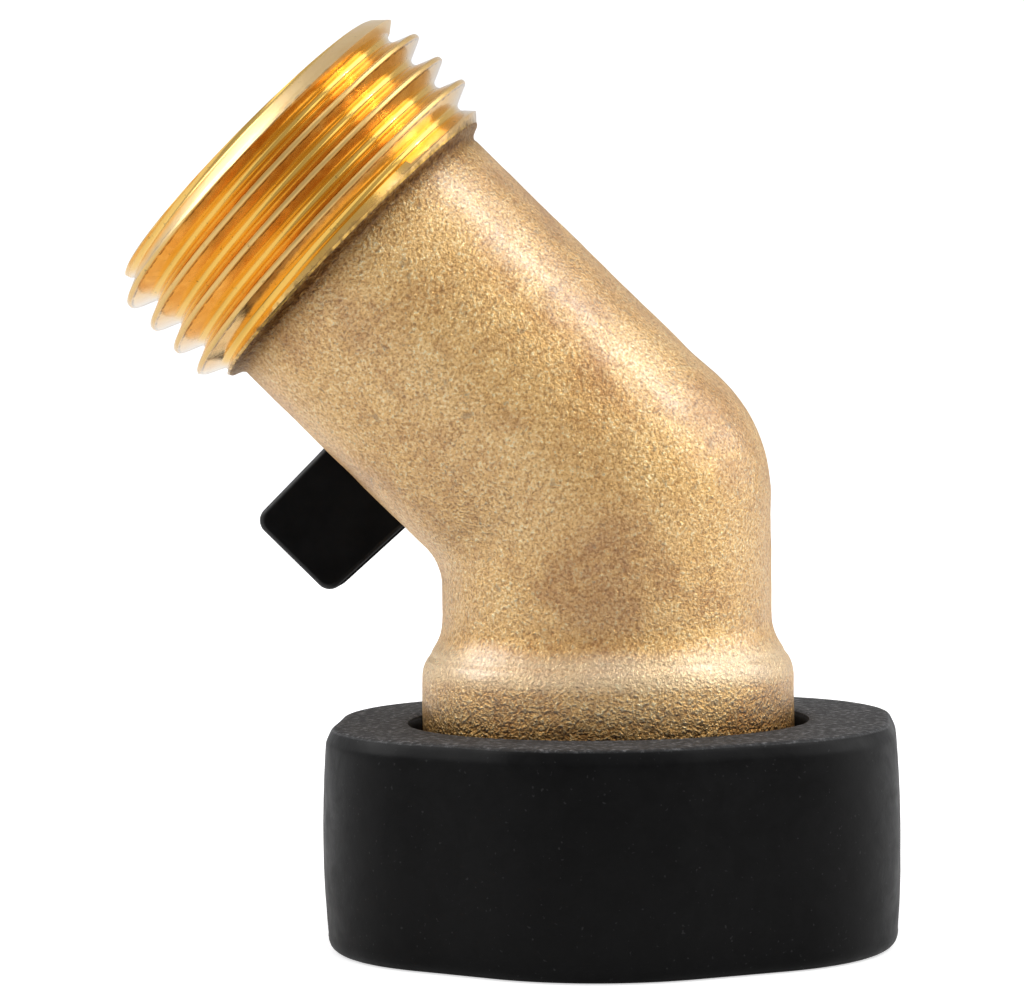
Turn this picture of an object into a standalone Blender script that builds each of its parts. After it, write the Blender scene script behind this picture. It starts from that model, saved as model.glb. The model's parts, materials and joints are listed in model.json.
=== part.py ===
"""Inlet water pressure regulator for a garden hose line.

A 45 degree brass elbow carries a swivel hose nut with a rubber grip on its inlet, a sprung
regulating piston inside the inlet leg, and a lever-operated ball valve in the outlet arm.
Lengths below are in millimetres and are scaled to metres when meshes are made. +Z runs up the
inlet leg, the outlet arm leans towards -X and the lever sits on the +Y side. The origin is on
the standing plane, at the centre of the footprint.
"""
from math import atan2
from math import cos
from math import pi
from math import radians
from math import sin
from math import sqrt
from math import tau

import bmesh
import bpy
from mathutils import Vector

MM = 0.001
WELD = 0.000001
ROUND_STEPS = 36
GRIP_STEPS = 48
SMALL_STEPS = 24
RING_STEPS = 16
HOLE_STEPS = 12
DOME_STEPS = 9
BORE_DOME_STEPS = 6
CORNER_STEPS = 4
PLAY = 0.3
OVERSHOOT = 1.0

# Elbow casting
BEND_ANGLE = radians(45.0)
BEND_Z = 30.3
LEG_R = 11.2
ARM_R = 11.08
ARM_LENGTH = 33.9
COLLAR_R = 12.65
COLLAR_TOP_Z = 18.6
CREASE_R = 12.15
CREASE_Z = 19.5
FLARE_R = 11.55
FLARE_Z = 20.3
NECK_Z = 21.2
INLET_FACE_Z = 10.4
INLET_FACE_EDGE = 0.2
SHOULDER_S = 23.9
SHOULDER_BEVEL = 0.6
BLANK_CORE_R = 5.2
CLIP_GROOVE_R = 11.6
CLIP_Z = 11.75
CLIP_GROOVE_HALF = 0.75

# Hose thread, 11.5 turns to the inch
PITCH = 25.4 / 11.5
THREAD_DEPTH = 1.3
FLANK = 0.88
MALE_CREST_R = 13.3
MALE_ROOT_R = MALE_CREST_R - THREAD_DEPTH
MALE_START_S = 24.1
MALE_START_RISE = 0.2
RUN_OUT_SLOPE = 1.5
FEMALE_MOUTH_LEAD = 0.25
RIM_CHAMFER = 1.3
FIRST_ROOT_FROM_END = 2.3
FEMALE_CREST_R = 12.35
FEMALE_ROOT_R = FEMALE_CREST_R + THREAD_DEPTH

# Swivel nut and grip
NUT_BOTTOM_Z = 0.5
NUT_TOP_Z = 13.1
NUT_APOTHEM = 16.0
NUT_CORNER_R = 9.0
NUT_EDGE = 0.6
NUT_THREAD_END_Z = 7.7
NUT_RELIEF_R = 13.7
NUT_BORE_R = 12.95
GRIP_HEIGHT = 15.1
GRIP_APOTHEM = 19.45
GRIP_CORNER_R = 13.8
GRIP_BARREL = 0.35
GRIP_TOP_ROUND = 1.1
GRIP_TOP_BEVEL = 0.35
GRIP_FOOT_ROUND = 0.9
GRIP_FOOT_BEVEL = 0.3
GRIP_ROWS = 5
GRIP_LIP_Z = 13.4
GRIP_HOLE_R = 13.6
WASHER_R = 13.3
WASHER_LEAD_R = 12.0
WASHER_HOLE_R = 8.5
WASHER_BOTTOM_Z = 7.9
WASHER_TOP_Z = 10.0
SCREEN_R = 8.2
SCREEN_RIM_BOTTOM_Z = 8.2
SCREEN_RIM_TOP_Z = 9.4
SCREEN_DOME_R = 7.3
SCREEN_DOME_Z = 8.8
SCREEN_RISE = 1.6
SCREEN_SHEET = 0.5
SCREEN_HOLE_R = 0.65
SCREEN_HOLE_SIDES = 6
SCREEN_HOLE_RINGS = ((0.0, 1), (2.3, 6), (4.7, 10))

# Seals and the snap ring, all of round section
RING_WIRE_STEPS = 1
SEAL_WIRE_R = 0.45
SEAL_INSET = 0.5
GROOVE_DEPTH = 1.2
GROOVE_HALF = 0.7
CLIP_WIRE_R = 0.5
CLIP_GAP = radians(14.0)
CLIP_NUT_GROOVE_R = NUT_BORE_R + 0.8

# Regulating cartridge in the inlet leg
COUNTERBORE_R = 10.0
COUNTERBORE_TOP_Z = 19.1
PISTON_BORE_R = 8.9
PISTON_BORE_TOP_Z = 28.3
WATERWAY_R = 7.3
PLUG_R = 9.7
PLUG_BOTTOM_Z = 11.3
PLUG_TOP_Z = 13.7
DISC_POCKET_R = 3.7
DISC_POCKET_Z = 12.5
DISC_TOP_Z = 14.0
FLOW_HOLES = 6
FLOW_HOLE_R = 1.5
FLOW_HOLE_REACH = 6.6
GUIDE_BOTTOM_Z = 14.0
GUIDE_FLANGE_Z = 16.4
GUIDE_TOP_Z = 18.8
STEM_MOUTH_Z = 15.8
STEM_TUBE_R = 3.8
STEM_BORE_R = 2.4
STEM_MOUTH_EDGE = 0.5
HEAD_BOTTOM_Z = 25.6
HEAD_TOP_Z = 28.0
HEAD_R = 8.6
HEAD_DISH = 1.2
SPRING_R = 6.5
SPRING_WIRE_R = 0.5
SPRING_TURNS = 4
SPRING_WIRE_STEPS = 1
VENT_R = 0.7
VENT_Z = 22.3
VENT_FOOT = 7.0

# Ball valve in the outlet arm; S is the distance along the arm from the bend
BALL_S = 13.2
BALL_R = 7.0
BALL_COLUMNS = 28
BALL_ROWS = 14
PORT_R = 4.6
BALL_SLOT_WIDTH = 2.4
BALL_SLOT_FOOT = 5.6
CHAMBER_HALF = 7.7
CHAMBER_R = 8.0
ARM_WATERWAY_R = 6.2
OUTLET_BORE_R = 9.3
MOUTH_CHAMFER = 0.8
SEAT_R = 7.7
SEAT_HOLE_R = 4.9
SEAT_CLEAR_R = 7.3
SEAT_FACE = 4.3
SEAT_HOLLOW_STEPS = 3
RETAINER_R = 9.0
RETAINER_HOLE_R = 5.6
RETAINER_THICKNESS = 4.0
RETAINER_EDGE = 0.4
RETAINER_SEAL = 1.7
SPANNER_SLOT_WIDTH = 1.8
SPANNER_SLOT_DEPTH = 1.2
BOSS_R = 6.0
BOSS_FOOT_Y = 6.5
BOSS_TOP_Y = 14.5
STEM_R = 3.1
STEM_HOLE_R = 3.4
STEM_HOLE_FOOT_Y = 5.0
STEM_FLANGE_R = 4.0
STEM_FLANGE_BOTTOM_Y = 7.3
STEM_FLANGE_TOP_Y = 8.5
STEM_WASHER_BOTTOM_Y = 8.8
STEM_WASHER_TOP_Y = 9.3
LOWER_SEAL_Y = 10.9
UPPER_SEAL_Y = 12.9
SPOT_FACE_R = 4.3
SPOT_FACE_Y = 9.6
TANG_WIDTH = 1.8
TANG_LENGTH = 5.6
TANG_HEIGHT = 2.0
TANG_Y = 6.9
SQUARE_SIDE = 4.4
SQUARE_BOTTOM_Y = 13.5
SQUARE_TOP_Y = 18.0

# Lever
LEVER_REACH = 20.0
LEVER_WIDTH = 7.0
LEVER_HUB_R = 5.6
LEVER_BOTTOM_Y = 14.8
LEVER_TOP_Y = 19.4
LEVER_RECESS_Y = 18.2
LEVER_RECESS_R = 3.9
LEVER_CORNER_R = 1.0
LEVER_EDGE = 0.5
LEVER_EDGE_STEPS = 2
LEVER_EDGE_ANGLE = radians(60.0)
LEVER_HUB_STEPS = 16
LEVER_WASHER_R = 3.5
LEVER_WASHER_TOP_Y = 18.9
SCREW_R = 1.3
SCREW_TIP_Y = 14.6
SCREW_HEAD_R = 2.8
SCREW_HEAD_Y = 19.1
SCREW_RIM_Y = 19.5
SCREW_TOP_Y = 20.3
SCREW_CROWN = ((1.4, 20.25), (2.4, 19.95))
SCREW_CROSS_LENGTH = 3.0
SCREW_CROSS_WIDTH = 0.7
SCREW_CROSS_DEPTH = 0.6
TAPPED_HOLE_FOOT_Y = 14.2

# The footprint runs from the outlet rim to the far side of the grip
OUTLET_REACH = sin(BEND_ANGLE) * ARM_LENGTH + cos(BEND_ANGLE) * (MALE_CREST_R - RIM_CHAMFER)
SWIVEL_X = (OUTLET_REACH - GRIP_APOTHEM - GRIP_BARREL) / 2.0

BRASS_CAST = ("cast_brass", (0.52, 0.32, 0.13), 0.42, 1.0)
BRASS_TURNED = ("turned_brass", (0.70, 0.44, 0.14), 0.25, 1.0)
STEEL = ("stainless_steel", (0.58, 0.58, 0.57), 0.28, 1.0)
CHROME = ("chromed_ball", (0.78, 0.78, 0.78), 0.08, 1.0)
BLACK_RUBBER = ("black_rubber", (0.012, 0.012, 0.013), 0.72, 0.0)
BLACK_PLASTIC = ("black_plastic", (0.010, 0.010, 0.011), 0.45, 0.0)
SEAL_RUBBER = ("seal_rubber", (0.02, 0.02, 0.022), 0.6, 0.0)
WASHER_RUBBER = ("washer_rubber", (0.03, 0.03, 0.032), 0.65, 0.0)
WHITE_SEAT = ("white_seat", (0.80, 0.80, 0.76), 0.4, 0.0)
GREY_ACETAL = ("grey_acetal", (0.30, 0.31, 0.32), 0.45, 0.0)


def clear_scene():
    for item in list(bpy.data.objects):
        bpy.data.objects.remove(item, do_unlink=True)


def new_collection(name):
    collection = bpy.data.collections.new(name)
    bpy.context.scene.collection.children.link(collection)
    return collection


def shared_material(look):
    name, colour, roughness, metallic = look
    material = bpy.data.materials.get(name)
    if material is None:
        material = bpy.data.materials.new(name)
        material.use_nodes = True
        shader = material.node_tree.nodes["Principled BSDF"]
        shader.inputs["Base Color"].default_value = (*colour, 1.0)
        shader.inputs["Roughness"].default_value = roughness
        shader.inputs["Metallic"].default_value = metallic
    return material


def new_axis(name, parent, location, rotation=(0.0, 0.0, 0.0)):
    """An empty that stands on an axis of the assembly."""
    axis = bpy.data.objects.new(name, None)
    PARTS.objects.link(axis)
    axis.parent = parent
    axis.location = Vector(location) * MM
    axis.rotation_euler = rotation
    return axis


def new_part(name, mesh, axis, look):
    part = bpy.data.objects.new(name, mesh)
    PARTS.objects.link(part)
    part.parent = axis
    mesh.materials.append(shared_material(look))
    return part


def new_tool(name, mesh, axis):
    """A shape that only cuts, or is joined to, a part."""
    tool = bpy.data.objects.new(name, mesh)
    TOOLS.objects.link(tool)
    tool.parent = axis
    tool.hide_render = True
    tool.display_type = "WIRE"
    return tool


def combine(part, tool, operation):
    modifier = part.modifiers.new(tool.name, "BOOLEAN")
    modifier.object = tool
    modifier.operation = operation
    modifier.solver = "EXACT"


def cut(part, *tools):
    for tool in tools:
        combine(part, tool, "DIFFERENCE")


def join(part, *tools):
    for tool in tools:
        combine(part, tool, "UNION")


def outline_mesh(name, outline):
    """Edges through (radius, height) points; an outline that leaves the axis is a closed ring."""
    mesh = bpy.data.meshes.new(name)
    count = len(outline)
    edges = [(index, index + 1) for index in range(count - 1)]
    if outline[0][0] > 0.0:
        edges.append((count - 1, 0))
    mesh.from_pydata([(radius * MM, 0.0, height * MM) for radius, height in outline], edges, [])
    return mesh


def spin(item, steps):
    screw = item.modifiers.new("turned", "SCREW")
    screw.steps = steps
    screw.render_steps = steps
    screw.use_merge_vertices = True
    screw.merge_threshold = WELD
    screw.use_smooth_shade = True
    return item


def turned_part(name, outline, axis, look, steps=ROUND_STEPS):
    """Turn an outline whose outer side runs from top to bottom."""
    return spin(new_part(name, outline_mesh(name, outline), axis, look), steps)


def turned_tool(name, outline, axis, steps=ROUND_STEPS):
    return spin(new_tool(name, outline_mesh(name, outline), axis), steps)


def tube_outline(outer, inner, bottom, top):
    return [(outer, top), (outer, bottom), (inner, bottom), (inner, top)]


def rod_outline(radius, bottom, top):
    return [(0.0, top), (radius, top), (radius, bottom), (0.0, bottom)]


def dome_points(radius, centre, steps):
    """Quarter arc from the axis above the centre out to its full radius."""
    angles = [index * pi / 2.0 / steps for index in range(steps + 1)]
    return [(radius * sin(angle), centre + radius * cos(angle)) for angle in angles]


def box_mesh(name, size, centre):
    mesh = bpy.data.meshes.new(name)
    block = bmesh.new()
    bmesh.ops.create_cube(block, size=1.0)
    for vertex in block.verts:
        for axis in range(3):
            vertex.co[axis] = (vertex.co[axis] * size[axis] + centre[axis]) * MM
    block.to_mesh(mesh)
    block.free()
    return mesh


def ring_loft_mesh(name, section, columns):
    """Loft closed (radius, height) sections around the axis; a section may change with angle."""
    mesh = bpy.data.meshes.new(name)
    loft = bmesh.new()
    rings = []
    for column in range(columns + 1):
        angle = tau * column / columns
        across = Vector((cos(angle), sin(angle), 0.0))
        up = Vector((0.0, 0.0, 1.0))
        ring = [(across * radius + up * height) * MM for radius, height in section(angle)]
        rings.append([loft.verts.new(point) for point in ring])
    for near, far in zip(rings, rings[1:]):
        count = len(near)
        for index in range(count):
            following = (index + 1) % count
            loft.faces.new((near[index], far[index], far[following], near[following]))
    bmesh.ops.remove_doubles(loft, verts=loft.verts, dist=WELD)
    bmesh.ops.recalc_face_normals(loft, faces=loft.faces)
    loft.to_mesh(mesh)
    loft.free()
    return mesh


def plate_mesh(name, points, thickness, bottom):
    """A flat outline with thickness, as a welded mesh standing on the given height."""
    curve = bpy.data.curves.new(name, "CURVE")
    curve.dimensions = "2D"
    curve.fill_mode = "BOTH"
    curve.extrude = thickness / 2.0 * MM
    spline = curve.splines.new("POLY")
    spline.points.add(len(points) - 1)
    for point, (x, y) in zip(spline.points, points):
        point.co = (x * MM, y * MM, 0.0, 1.0)
    spline.use_cyclic_u = True
    return mesh_from_curve(curve, bottom + thickness / 2.0)


def mesh_from_curve(curve, lift):
    """The welded mesh of a curve, raised by a height; the curve is removed."""
    holder = bpy.data.objects.new(curve.name, curve)
    TOOLS.objects.link(holder)
    evaluated = holder.evaluated_get(bpy.context.evaluated_depsgraph_get())
    mesh = bpy.data.meshes.new_from_object(evaluated)
    bpy.data.objects.remove(holder, do_unlink=True)
    welded = bmesh.new()
    welded.from_mesh(mesh)
    bmesh.ops.remove_doubles(welded, verts=welded.verts, dist=WELD)
    bmesh.ops.translate(welded, verts=welded.verts, vec=(0.0, 0.0, lift * MM))
    bmesh.ops.recalc_face_normals(welded, faces=welded.faces)
    welded.to_mesh(mesh)
    welded.free()
    return mesh


def hexagon_radius(angle, apothem, corner_radius):
    """Distance from the axis to a rounded hexagon that has a corner towards -Y."""
    off_corner = abs((angle + pi / 2.0 + pi / 6.0) % (pi / 3.0) - pi / 6.0)
    centre = (apothem - corner_radius) / cos(pi / 6.0)
    arc_end = pi / 6.0 - atan2(centre * sin(pi / 6.0), apothem)
    if off_corner < arc_end:
        return centre * cos(off_corner) + sqrt(corner_radius ** 2 - (centre * sin(off_corner)) ** 2)
    return apothem / cos(pi / 6.0 - off_corner)


def thread_stations(start, end, root, knees):
    """Axial positions of the roots and crest edges that lie on one side of a thread."""
    stations = list(knees)
    turns = int((end - start) / PITCH) + 3
    for turn in range(-turns, turns + 1):
        for offset in (-FLANK, 0.0, FLANK):
            stations.append(min(max(root + turn * PITCH + offset, start), end))
    return sorted(stations)


def thread_height(position, root):
    """0 in the root and 1 on the crest."""
    off_root = abs((position - root + PITCH / 2.0) % PITCH - PITCH / 2.0)
    return min(1.0, off_root / FLANK)


def arm_section(angle):
    """Arm with its male hose thread; the outline runs along the arm and back up its blank bore."""
    root = ARM_LENGTH - FIRST_ROOT_FROM_END + PITCH * (angle + pi / 2.0) / tau
    outline = [(BLANK_CORE_R, 0.0), (ARM_R, 0.0), (ARM_R, SHOULDER_S - SHOULDER_BEVEL)]
    outline.append((MALE_ROOT_R, SHOULDER_S))
    knee = ARM_LENGTH - RIM_CHAMFER
    for station in thread_stations(MALE_START_S, ARM_LENGTH, root, [knee]):
        crest = MALE_ROOT_R + THREAD_DEPTH * thread_height(station, root)
        run_in = MALE_ROOT_R + MALE_START_RISE + (station - MALE_START_S) * RUN_OUT_SLOPE
        chamfer = MALE_CREST_R - RIM_CHAMFER + (ARM_LENGTH - station)
        outline.append((min(crest, run_in, chamfer), station))
    outline.append((BLANK_CORE_R, ARM_LENGTH))
    return outline


def nut_section(angle):
    """Swivel nut: hexagon outside; female thread, washer seat, bore and clip groove inside."""
    side = hexagon_radius(angle, NUT_APOTHEM, NUT_CORNER_R)
    root = NUT_BOTTOM_Z + PITCH * angle / tau
    outline = [(side - NUT_EDGE, NUT_TOP_Z), (side, NUT_TOP_Z - NUT_EDGE)]
    outline += [(side, NUT_BOTTOM_Z + NUT_EDGE), (side - NUT_EDGE, NUT_BOTTOM_Z)]
    for station in thread_stations(NUT_BOTTOM_Z, NUT_THREAD_END_Z, root, []):
        wall = FEMALE_ROOT_R - THREAD_DEPTH * thread_height(station, root)
        mouth = FEMALE_ROOT_R + FEMALE_MOUTH_LEAD - (station - NUT_BOTTOM_Z)
        run_out = NUT_RELIEF_R - (NUT_THREAD_END_Z - station) * RUN_OUT_SLOPE
        outline.append((max(wall, mouth, run_out), station))
    outline += [(NUT_RELIEF_R, INLET_FACE_Z), (NUT_BORE_R, INLET_FACE_Z)]
    outline += [(NUT_BORE_R, CLIP_Z - CLIP_GROOVE_HALF), (CLIP_NUT_GROOVE_R, CLIP_Z - CLIP_GROOVE_HALF)]
    outline += [(CLIP_NUT_GROOVE_R, CLIP_Z + CLIP_GROOVE_HALF), (NUT_BORE_R, CLIP_Z + CLIP_GROOVE_HALF)]
    outline.append((NUT_BORE_R, NUT_TOP_Z))
    return outline


def grip_section(angle):
    """Grip sleeve: barrelled rounded hexagon outside, hexagon pocket under a round-holed lip."""
    side = hexagon_radius(angle, GRIP_APOTHEM, GRIP_CORNER_R)
    pocket = hexagon_radius(angle, NUT_APOTHEM + PLAY, NUT_CORNER_R + PLAY)
    outline = [(GRIP_HOLE_R, GRIP_HEIGHT), (side - GRIP_TOP_ROUND, GRIP_HEIGHT)]
    outline.append((side - GRIP_TOP_BEVEL, GRIP_HEIGHT - GRIP_TOP_BEVEL))
    top = GRIP_HEIGHT - GRIP_TOP_ROUND
    for part in range(GRIP_ROWS):
        height = top - part * (top - GRIP_FOOT_ROUND) / (GRIP_ROWS - 1)
        bulge = 1.0 - (2.0 * height / GRIP_HEIGHT - 1.0) ** 2
        outline.append((side + GRIP_BARREL * bulge, height))
    outline += [(side - GRIP_FOOT_BEVEL, GRIP_FOOT_BEVEL), (side - GRIP_FOOT_ROUND, 0.0)]
    outline += [(pocket, 0.0), (pocket, GRIP_LIP_Z), (GRIP_HOLE_R, GRIP_LIP_Z)]
    return outline


def leg_outline():
    """Inlet leg: domed top at the bend, neck, collar and the groove for the swivel clip."""
    outline = dome_points(LEG_R, BEND_Z, DOME_STEPS)
    outline += [(LEG_R, NECK_Z), (FLARE_R, FLARE_Z), (CREASE_R, CREASE_Z)]
    outline += [(COLLAR_R, COLLAR_TOP_Z), (COLLAR_R, CLIP_Z + CLIP_GROOVE_HALF)]
    outline += [(CLIP_GROOVE_R, CLIP_Z + CLIP_GROOVE_HALF), (CLIP_GROOVE_R, CLIP_Z - CLIP_GROOVE_HALF)]
    outline += [(COLLAR_R, CLIP_Z - CLIP_GROOVE_HALF), (COLLAR_R, INLET_FACE_Z + INLET_FACE_EDGE)]
    outline += [(COLLAR_R - INLET_FACE_EDGE, INLET_FACE_Z), (0.0, INLET_FACE_Z)]
    return outline


def leg_bore_outline():
    """Counterbore, piston bore and waterway of the inlet leg, up to a domed end at the bend."""
    outline = dome_points(WATERWAY_R, BEND_Z, BORE_DOME_STEPS)
    outline += [(WATERWAY_R, PISTON_BORE_TOP_Z), (PISTON_BORE_R, PISTON_BORE_TOP_Z)]
    outline += [(PISTON_BORE_R, COUNTERBORE_TOP_Z), (COUNTERBORE_R, COUNTERBORE_TOP_Z)]
    outline += [(COUNTERBORE_R, INLET_FACE_Z - OVERSHOOT), (0.0, INLET_FACE_Z - OVERSHOOT)]
    return outline


def arm_bore_outline():
    """Waterway, ball chamber and outlet bore of the arm."""
    chamber_start = BALL_S - CHAMBER_HALF
    chamber_end = BALL_S + CHAMBER_HALF
    mouth_r = OUTLET_BORE_R + MOUTH_CHAMFER + OVERSHOOT
    outline = [(0.0, ARM_LENGTH + OVERSHOOT), (mouth_r, ARM_LENGTH + OVERSHOOT)]
    outline += [(OUTLET_BORE_R, ARM_LENGTH - MOUTH_CHAMFER), (OUTLET_BORE_R, chamber_end)]
    outline += [(CHAMBER_R, chamber_end), (CHAMBER_R, chamber_start)]
    outline += [(ARM_WATERWAY_R, chamber_start), (ARM_WATERWAY_R, 0.0), (0.0, 0.0)]
    return outline


def build_elbow(leg, arm, ball_axis):
    elbow = turned_part("elbow_body", leg_outline(), leg, BRASS_CAST)
    threaded_arm = new_tool("arm_blank", ring_loft_mesh("arm_blank", arm_section, ROUND_STEPS), arm)
    boss = turned_tool("stem_boss", rod_outline(BOSS_R, BOSS_FOOT_Y, BOSS_TOP_Y), ball_axis, SMALL_STEPS)
    leg_bore = turned_tool("leg_bore", leg_bore_outline(), leg, SMALL_STEPS)
    arm_bore = turned_tool("arm_bore", arm_bore_outline(), arm, SMALL_STEPS)
    stem_bore = [(0.0, BOSS_TOP_Y + OVERSHOOT), (STEM_HOLE_R, BOSS_TOP_Y + OVERSHOOT)]
    stem_bore += [(STEM_HOLE_R, SPOT_FACE_Y), (SPOT_FACE_R, SPOT_FACE_Y)]
    stem_bore += [(SPOT_FACE_R, STEM_HOLE_FOOT_Y), (0.0, STEM_HOLE_FOOT_Y)]
    stem_hole = turned_tool("stem_hole", stem_bore, ball_axis, RING_STEPS)
    vent_axis = new_axis("vent_axis", leg, (0.0, 0.0, VENT_Z), (-pi / 2.0, 0.0, 0.0))
    vent_rod = rod_outline(VENT_R, VENT_FOOT, LEG_R + OVERSHOOT)
    vent = turned_tool("vent_hole", vent_rod, vent_axis, HOLE_STEPS)
    join(elbow, threaded_arm, boss)
    cut(elbow, vent, stem_hole, arm_bore, leg_bore)


def dome_arc(radius, foot, angles):
    return [(radius * cos(angle), foot + SCREEN_RISE * sin(angle)) for angle in angles]


def screen_outline():
    """Thin domed strainer with a stiff rim that sits inside the hose washer."""
    outer_foot = SCREEN_DOME_Z + SCREEN_SHEET
    outline = [(0.0, outer_foot + SCREEN_RISE)]
    outline += dome_arc(SCREEN_DOME_R + SCREEN_SHEET, outer_foot, (pi / 3.0, pi / 6.0))
    outline += [(SCREEN_R, SCREEN_RIM_TOP_Z), (SCREEN_R, SCREEN_RIM_BOTTOM_Z)]
    outline += [(SCREEN_DOME_R, SCREEN_RIM_BOTTOM_Z), (SCREEN_DOME_R, SCREEN_DOME_Z)]
    outline += dome_arc(SCREEN_DOME_R, SCREEN_DOME_Z, (pi / 6.0, pi / 3.0))
    outline.append((0.0, SCREEN_DOME_Z + SCREEN_RISE))
    return outline


def build_screen(swivel):
    screen = turned_part("inlet_screen", screen_outline(), swivel, STEEL, SMALL_STEPS)
    radius = SCREEN_HOLE_R * MM
    depth = 2.0 * (SCREEN_RISE + SCREEN_SHEET) * MM
    holes = bmesh.new()
    for ring, (reach, count) in enumerate(SCREEN_HOLE_RINGS):
        for index in range(count):
            angle = tau * (index + ring * 0.25) / count
            made = bmesh.ops.create_cone(
                holes, cap_ends=True, segments=SCREEN_HOLE_SIDES, radius1=radius, radius2=radius, depth=depth
            )
            centre = Vector((reach * cos(angle), reach * sin(angle), SCREEN_DOME_Z + SCREEN_RISE))
            bmesh.ops.translate(holes, verts=made["verts"], vec=centre * MM)
    mesh = bpy.data.meshes.new("screen_holes")
    holes.to_mesh(mesh)
    holes.free()
    cut(screen, new_tool("screen_holes", mesh, swivel))


def washer_outline():
    """Hose washer with a bevelled lead-in, so that it passes the nut's thread."""
    bevel_z = WASHER_BOTTOM_Z + WASHER_R - WASHER_LEAD_R
    outline = [(WASHER_R, WASHER_TOP_Z), (WASHER_R, bevel_z), (WASHER_LEAD_R, WASHER_BOTTOM_Z)]
    outline += [(WASHER_HOLE_R, WASHER_BOTTOM_Z), (WASHER_HOLE_R, WASHER_TOP_Z)]
    return outline


def build_swivel(swivel):
    new_part("swivel_nut", ring_loft_mesh("swivel_nut", nut_section, ROUND_STEPS), swivel, BRASS_TURNED)
    new_part("nut_grip", ring_loft_mesh("nut_grip", grip_section, GRIP_STEPS), swivel, BLACK_RUBBER)
    turned_part("hose_washer", washer_outline(), swivel, WASHER_RUBBER)
    build_screen(swivel)


def ring_mesh(name, major, minor, height, gap=0.0):
    """A round-section ring; with a gap it is left open over that angle, as a snap ring is."""
    curve = bpy.data.curves.new(name, "CURVE")
    curve.dimensions = "3D"
    curve.bevel_depth = minor * MM
    curve.bevel_resolution = RING_WIRE_STEPS
    curve.use_fill_caps = gap > 0.0
    spline = curve.splines.new("POLY")
    count = SMALL_STEPS
    spans = count - 1 if gap > 0.0 else count
    spline.points.add(count - 1)
    for index, point in enumerate(spline.points):
        angle = gap / 2.0 + (tau - gap) * index / spans
        point.co = (major * cos(angle) * MM, major * sin(angle) * MM, 0.0, 1.0)
    spline.use_cyclic_u = gap == 0.0
    return mesh_from_curve(curve, height)


def build_clip(leg):
    middle = (CLIP_GROOVE_R + CLIP_NUT_GROOVE_R) / 2.0
    mesh = ring_mesh("swivel_clip", middle, CLIP_WIRE_R, CLIP_Z, CLIP_GAP)
    new_part("swivel_clip", mesh, leg, STEEL)


def o_ring(name, major, height, axis):
    new_part(name, ring_mesh(name, major, SEAL_WIRE_R, height), axis, SEAL_RUBBER)


def groove_outline(radius, height, depth=GROOVE_DEPTH):
    """A seal groove from its top edge to its bottom edge; a negative depth cuts into a bore."""
    top = height + GROOVE_HALF
    bottom = height - GROOVE_HALF
    return [(radius, top), (radius - depth, top), (radius - depth, bottom), (radius, bottom)]


def build_plug(leg):
    """Inlet plug with six flow holes around the pocket that holds the seat disc."""
    outline = [(0.0, DISC_POCKET_Z), (DISC_POCKET_R, DISC_POCKET_Z), (DISC_POCKET_R, PLUG_TOP_Z)]
    outline += [(PLUG_R, PLUG_TOP_Z), (PLUG_R, PLUG_BOTTOM_Z), (0.0, PLUG_BOTTOM_Z)]
    plug = turned_part("seat_plug", outline, leg, BRASS_TURNED, SMALL_STEPS)
    hole = rod_outline(FLOW_HOLE_R, PLUG_BOTTOM_Z - OVERSHOOT, PLUG_TOP_Z + OVERSHOOT)
    for index in range(FLOW_HOLES):
        angle = tau * index / FLOW_HOLES
        centre = (FLOW_HOLE_REACH * cos(angle), FLOW_HOLE_REACH * sin(angle), 0.0)
        hole_axis = new_axis(f"flow_hole_axis_{index + 1}", leg, centre)
        cut(plug, turned_tool(f"flow_hole_{index + 1}", hole, hole_axis, HOLE_STEPS))
    disc = rod_outline(DISC_POCKET_R - PLAY, DISC_POCKET_Z + PLAY, DISC_TOP_Z)
    turned_part("seat_disc", disc, leg, SEAL_RUBBER, RING_STEPS)


def build_guide(leg):
    """Spring guide: flange on a skirt, with a groove outside and a groove round the stem."""
    skirt_r = PLUG_R - GROOVE_DEPTH
    hole_r = STEM_TUBE_R + PLAY
    middle = (GUIDE_FLANGE_Z + GUIDE_TOP_Z) / 2.0
    outline = [(PLUG_R, GUIDE_TOP_Z)] + groove_outline(PLUG_R, middle) + [(PLUG_R, GUIDE_BOTTOM_Z)]
    outline += [(skirt_r, GUIDE_BOTTOM_Z), (skirt_r, GUIDE_FLANGE_Z), (hole_r, GUIDE_FLANGE_Z)]
    outline += reversed(groove_outline(hole_r, middle, -GROOVE_DEPTH))
    outline.append((hole_r, GUIDE_TOP_Z))
    turned_part("spring_guide", outline, leg, GREY_ACETAL, SMALL_STEPS)
    o_ring("guide_o_ring", PLUG_R - SEAL_INSET, middle, leg)
    o_ring("piston_stem_o_ring", hole_r + SEAL_INSET, middle, leg)


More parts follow.
